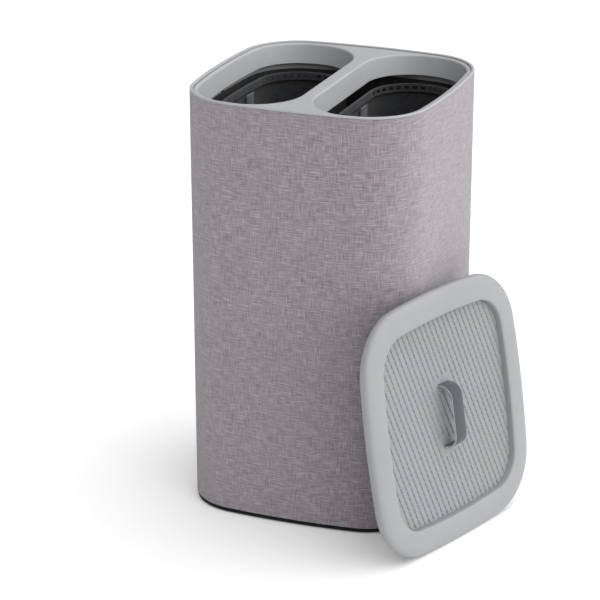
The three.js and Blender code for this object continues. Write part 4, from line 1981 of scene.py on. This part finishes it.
    def build_panel(self) -> bpy.types.Object:
        """The ventilated panel: a slotted field trimmed to the ring's inside, and its rim.

        Returns:
            The panel, where it leans.
        """
        panel = Panel()
        sizes = (size - self.panel_inset * MM for size in (LID.half, LID.corner, LID.side))
        outline = ArchedSquare(*sizes, side_steps=10, corner_steps=16)
        piece = self.build_field(panel, outline.path().line()[:-1, :2])
        cutter = start_mesh("panel_cutter")
        low, high, rim = panel.low / MM, panel.high / MM, panel.rim / MM
        sweep(outline.path(), outline.section([(rim - 0.2, low - 2), (rim - 0.2, high + 2)]), False)
        fill_level(cutter, (low - 2) * MM)
        fill_level(cutter, (high + 2) * MM)
        finish_mesh(cutter)
        apply_modifier(piece, "BOOLEAN", operation="INTERSECT", object=cutter, solver="EXACT")
        bpy.data.objects.remove(cutter)
        edge = start_mesh("panel_rim")
        section = rounded([(rim / 2, low, 0), (rim, low, 0.15), (rim, high, 0.25), (0, high, 0.25),
                           (0, low, 0.15), (rim / 2, low, 0)], 2)[:-1]
        sweep(outline.path(), outline.section(section), True)
        finish_mesh(edge, 40)
        piece = join_pieces([piece, edge], "lid_slotted_panel")
        shade(piece, 30)
        return self.settle(piece)

    def build_strap(self) -> bpy.types.Object:
        """The strap loop that stands on the panel, its ends turned in under it.

        Returns:
            The strap, where it leans.
        """
        tab = Panel.low - 0.0003 - self.strap_thick / 2
        top = Panel.high + self.strap_rise - self.strap_thick / 2
        bend, half, fold = self.strap_bend, self.strap_half, 0.0015
        quarter = math.pi / 2
        rise = top - bend - tab - fold
        thick, wide = self.strap_thick, self.strap_width / 2 - 0.0002
        ring = rounded([(0, -thick / 2, 0), (wide, -thick / 2, 0.0006), (wide, thick / 2, 0.0006),
                        (-wide, thick / 2, 0.0006), (-wide, -thick / 2, 0.0006), (0, -thick / 2, 0)], 3)[:-1]
        start = Vector((0, half - 0.016, tab))
        section = [Vector((a, start.y, tab + b)) for a, b in ring]
        path = Path(start, (
            Run((0, 0.0145, 0), 4),
            Turn((0, half - fold, tab + fold), quarter, 5, X_AXIS),
            Run((0, 0, rise), 4),
            Turn((0, half - bend, top - bend), quarter, 14, X_AXIS),
            Run((0, -2 * (half - bend), 0), 14),
            Turn((0, -half + bend, top - bend), quarter, 14, X_AXIS),
            Run((0, 0, -rise), 4),
            Turn((0, -half + fold, tab + fold), quarter, 5, X_AXIS),
            Run((0, 0.0145, 0), 4),
        ), closed=False)
        piece = start_mesh("lid_strap_loop")
        sweep(path, section, True)
        finish_mesh(piece, 60)
        set_uv(piece, path, lambda places: places[:, 0])
        return self.settle(piece)

    def build(self, finishes: Finishes) -> None:
        """Build and dress the lid's pieces.

        Args:
            finishes: The materials.
        """
        dress(self.build_ring(), finishes.lid, Slot.GREY, "lid", "lid_frame")
        dress(self.build_panel(), finishes.mesh, Slot.MESH, "lid", "lid_panel")
        dress(self.build_strap(), finishes.loop, Slot.WEBBING, "lid", "lid_strap")


# ---- studio -----------------------------------------------------------------------------------------


@dataclass
class Studio:
    """Pale floor, soft light and the camera.

    Attributes:
        place: Where the camera stands.
        azimuth: Its heading, in degrees left of +Y.
        elevation: How far it looks down, in degrees.
        lens: Focal length for a 36 mm frame.
        key_strength: Strength of the key light.
        key_spread: Its softness, as an angle in degrees.
        key_heading: Where it comes from, in degrees from the front towards the right.
        key_height: How high it stands, in degrees.
        sky: Strength of the pale sky.
        floor_fill: The floor's own glow.
        painted_shade_footprint: Where the floor's glow starts and is full, out from the hamper's middle;
            inside it the floor has no glow, a painted shade under the hamper.
    """

    place: tuple[float, float, float] = (1.4269, -3.7123, 1.7182)
    azimuth: float = 21.69
    elevation: float = 19.96
    lens: float = 179.7
    key_strength: float = 4.0
    key_spread: float = 120.0
    key_heading: float = 92.0
    key_height: float = 52.0
    sky: float = 0.30
    floor_fill: float = 0.10
    painted_shade_footprint: Point = (0.150, 0.168)

    def build_camera(self) -> None:
        """Add the camera."""
        camera = bpy.data.objects.new("camera", bpy.data.cameras.new("camera"))
        camera.data.lens = self.lens
        camera.data.sensor_width = 36
        camera.data.clip_end = 60
        camera.location = self.place
        camera.rotation_euler = (math.radians(90 - self.elevation), 0, math.radians(self.azimuth))
        bpy.context.collection.objects.link(camera)
        bpy.context.scene.camera = camera

    def build_lights(self) -> None:
        """Add the soft key light from the right and the pale sky."""
        key = bpy.data.objects.new("key_light", bpy.data.lights.new("key_light", "SUN"))
        key.data.energy = self.key_strength
        key.data.angle = math.radians(self.key_spread)
        heading, height = math.radians(self.key_heading), math.radians(self.key_height)
        toward = Vector((math.sin(heading), -math.cos(heading), 0))
        toward = toward * math.cos(height) + Z_AXIS * math.sin(height)
        key.rotation_euler = toward.to_track_quat("Z", "Y").to_euler()
        bpy.context.collection.objects.link(key)
        world = bpy.data.worlds.new("studio")
        world.use_nodes = True
        sky = next(node for node in world.node_tree.nodes if node.type == "BACKGROUND")
        sky.inputs["Color"].default_value = (1, 1, 1, 1)
        sky.inputs["Strength"].default_value = self.sky
        bpy.context.scene.world = world

    def build_floor(self) -> None:
        """Add the floor, which glows a little so that shadows stay pale; its glow is cut off under the
        hamper, which paints shade there.
        """
        clear_selection()
        bpy.ops.mesh.primitive_plane_add(size=60, location=(0, 0, -0.0002))
        floor = bpy.context.object
        floor.name = "studio_floor"
        g = Graph("studio_floor")
        soft = g.noise(g.coords(), 0.6, 2.0)
        colour = g.blend(soft, (0.87, 0.87, 0.87), (0.89, 0.89, 0.89))
        split = g.node("ShaderNodeSeparateXYZ", {0: g.coords()})
        x, y = split.outputs[0], split.outputs[1]
        reach = g.math("POWER", g.math("ADD", g.math("POWER", g.math("ABSOLUTE", x), 5.0),
                                       g.math("POWER", g.math("ABSOLUTE", y), 5.0)), 0.2)
        # Painted shade: the floor's glow fades to nothing inside the hamper's footprint, so the floor under
        # the base stays dark.
        fill = g.span(reach, *self.painted_shade_footprint)
        glow = g.blend(fill, (0.0, 0.0, 0.0), (self.floor_fill,) * 3)
        g.links.new(glow, g.shader.inputs["Emission Color"])
        g.finish(colour, 0.9, Emission_Strength=1.0, Specular_IOR_Level=0.1)
        floor.data.materials.append(g.material)
        clear_selection()

    def build(self) -> None:
        """Build the studio."""
        self.build_camera()
        self.build_lights()
        self.build_floor()
        bpy.context.scene.view_settings.view_transform = "Standard"


def dress_carried_over(finishes: Finishes) -> None:
    """Give the CAD nodes that stay their materials.

    Args:
        finishes: The materials.
    """
    slots = {
        "base_tray": Slot.BLACK, "wall_shell": Slot.BOARD, "lid_strap_plate": Slot.GREY,
        "lid_bumper": Slot.RUBBER, "left_bag_hoop": Slot.BLACK, "right_bag_hoop": Slot.BLACK,
    }
    for name, node in frame["nodes"].items():
        slot = slots.get(name)
        if "foot_pad" in name:
            slot = Slot.RUBBER
        elif "screw" in name:
            slot = Slot.STEEL
        if slot is None:
            continue
        node.data.materials.clear()
        node.data.materials.append(finishes.by_slot(slot))


def main() -> None:
    """Build the studio and every sub-assembly."""
    logging.basicConfig(level=logging.INFO, format="%(message)s")
    Studio().build()
    finishes = Finishes()
    dress_carried_over(finishes)
    Body().build(finishes)
    TopFrame().build(finishes)
    for side in Side:
        Bag(side).build(finishes)
    Lid().build(finishes)
    clear_selection()


if __name__ == "__main__":
    main()
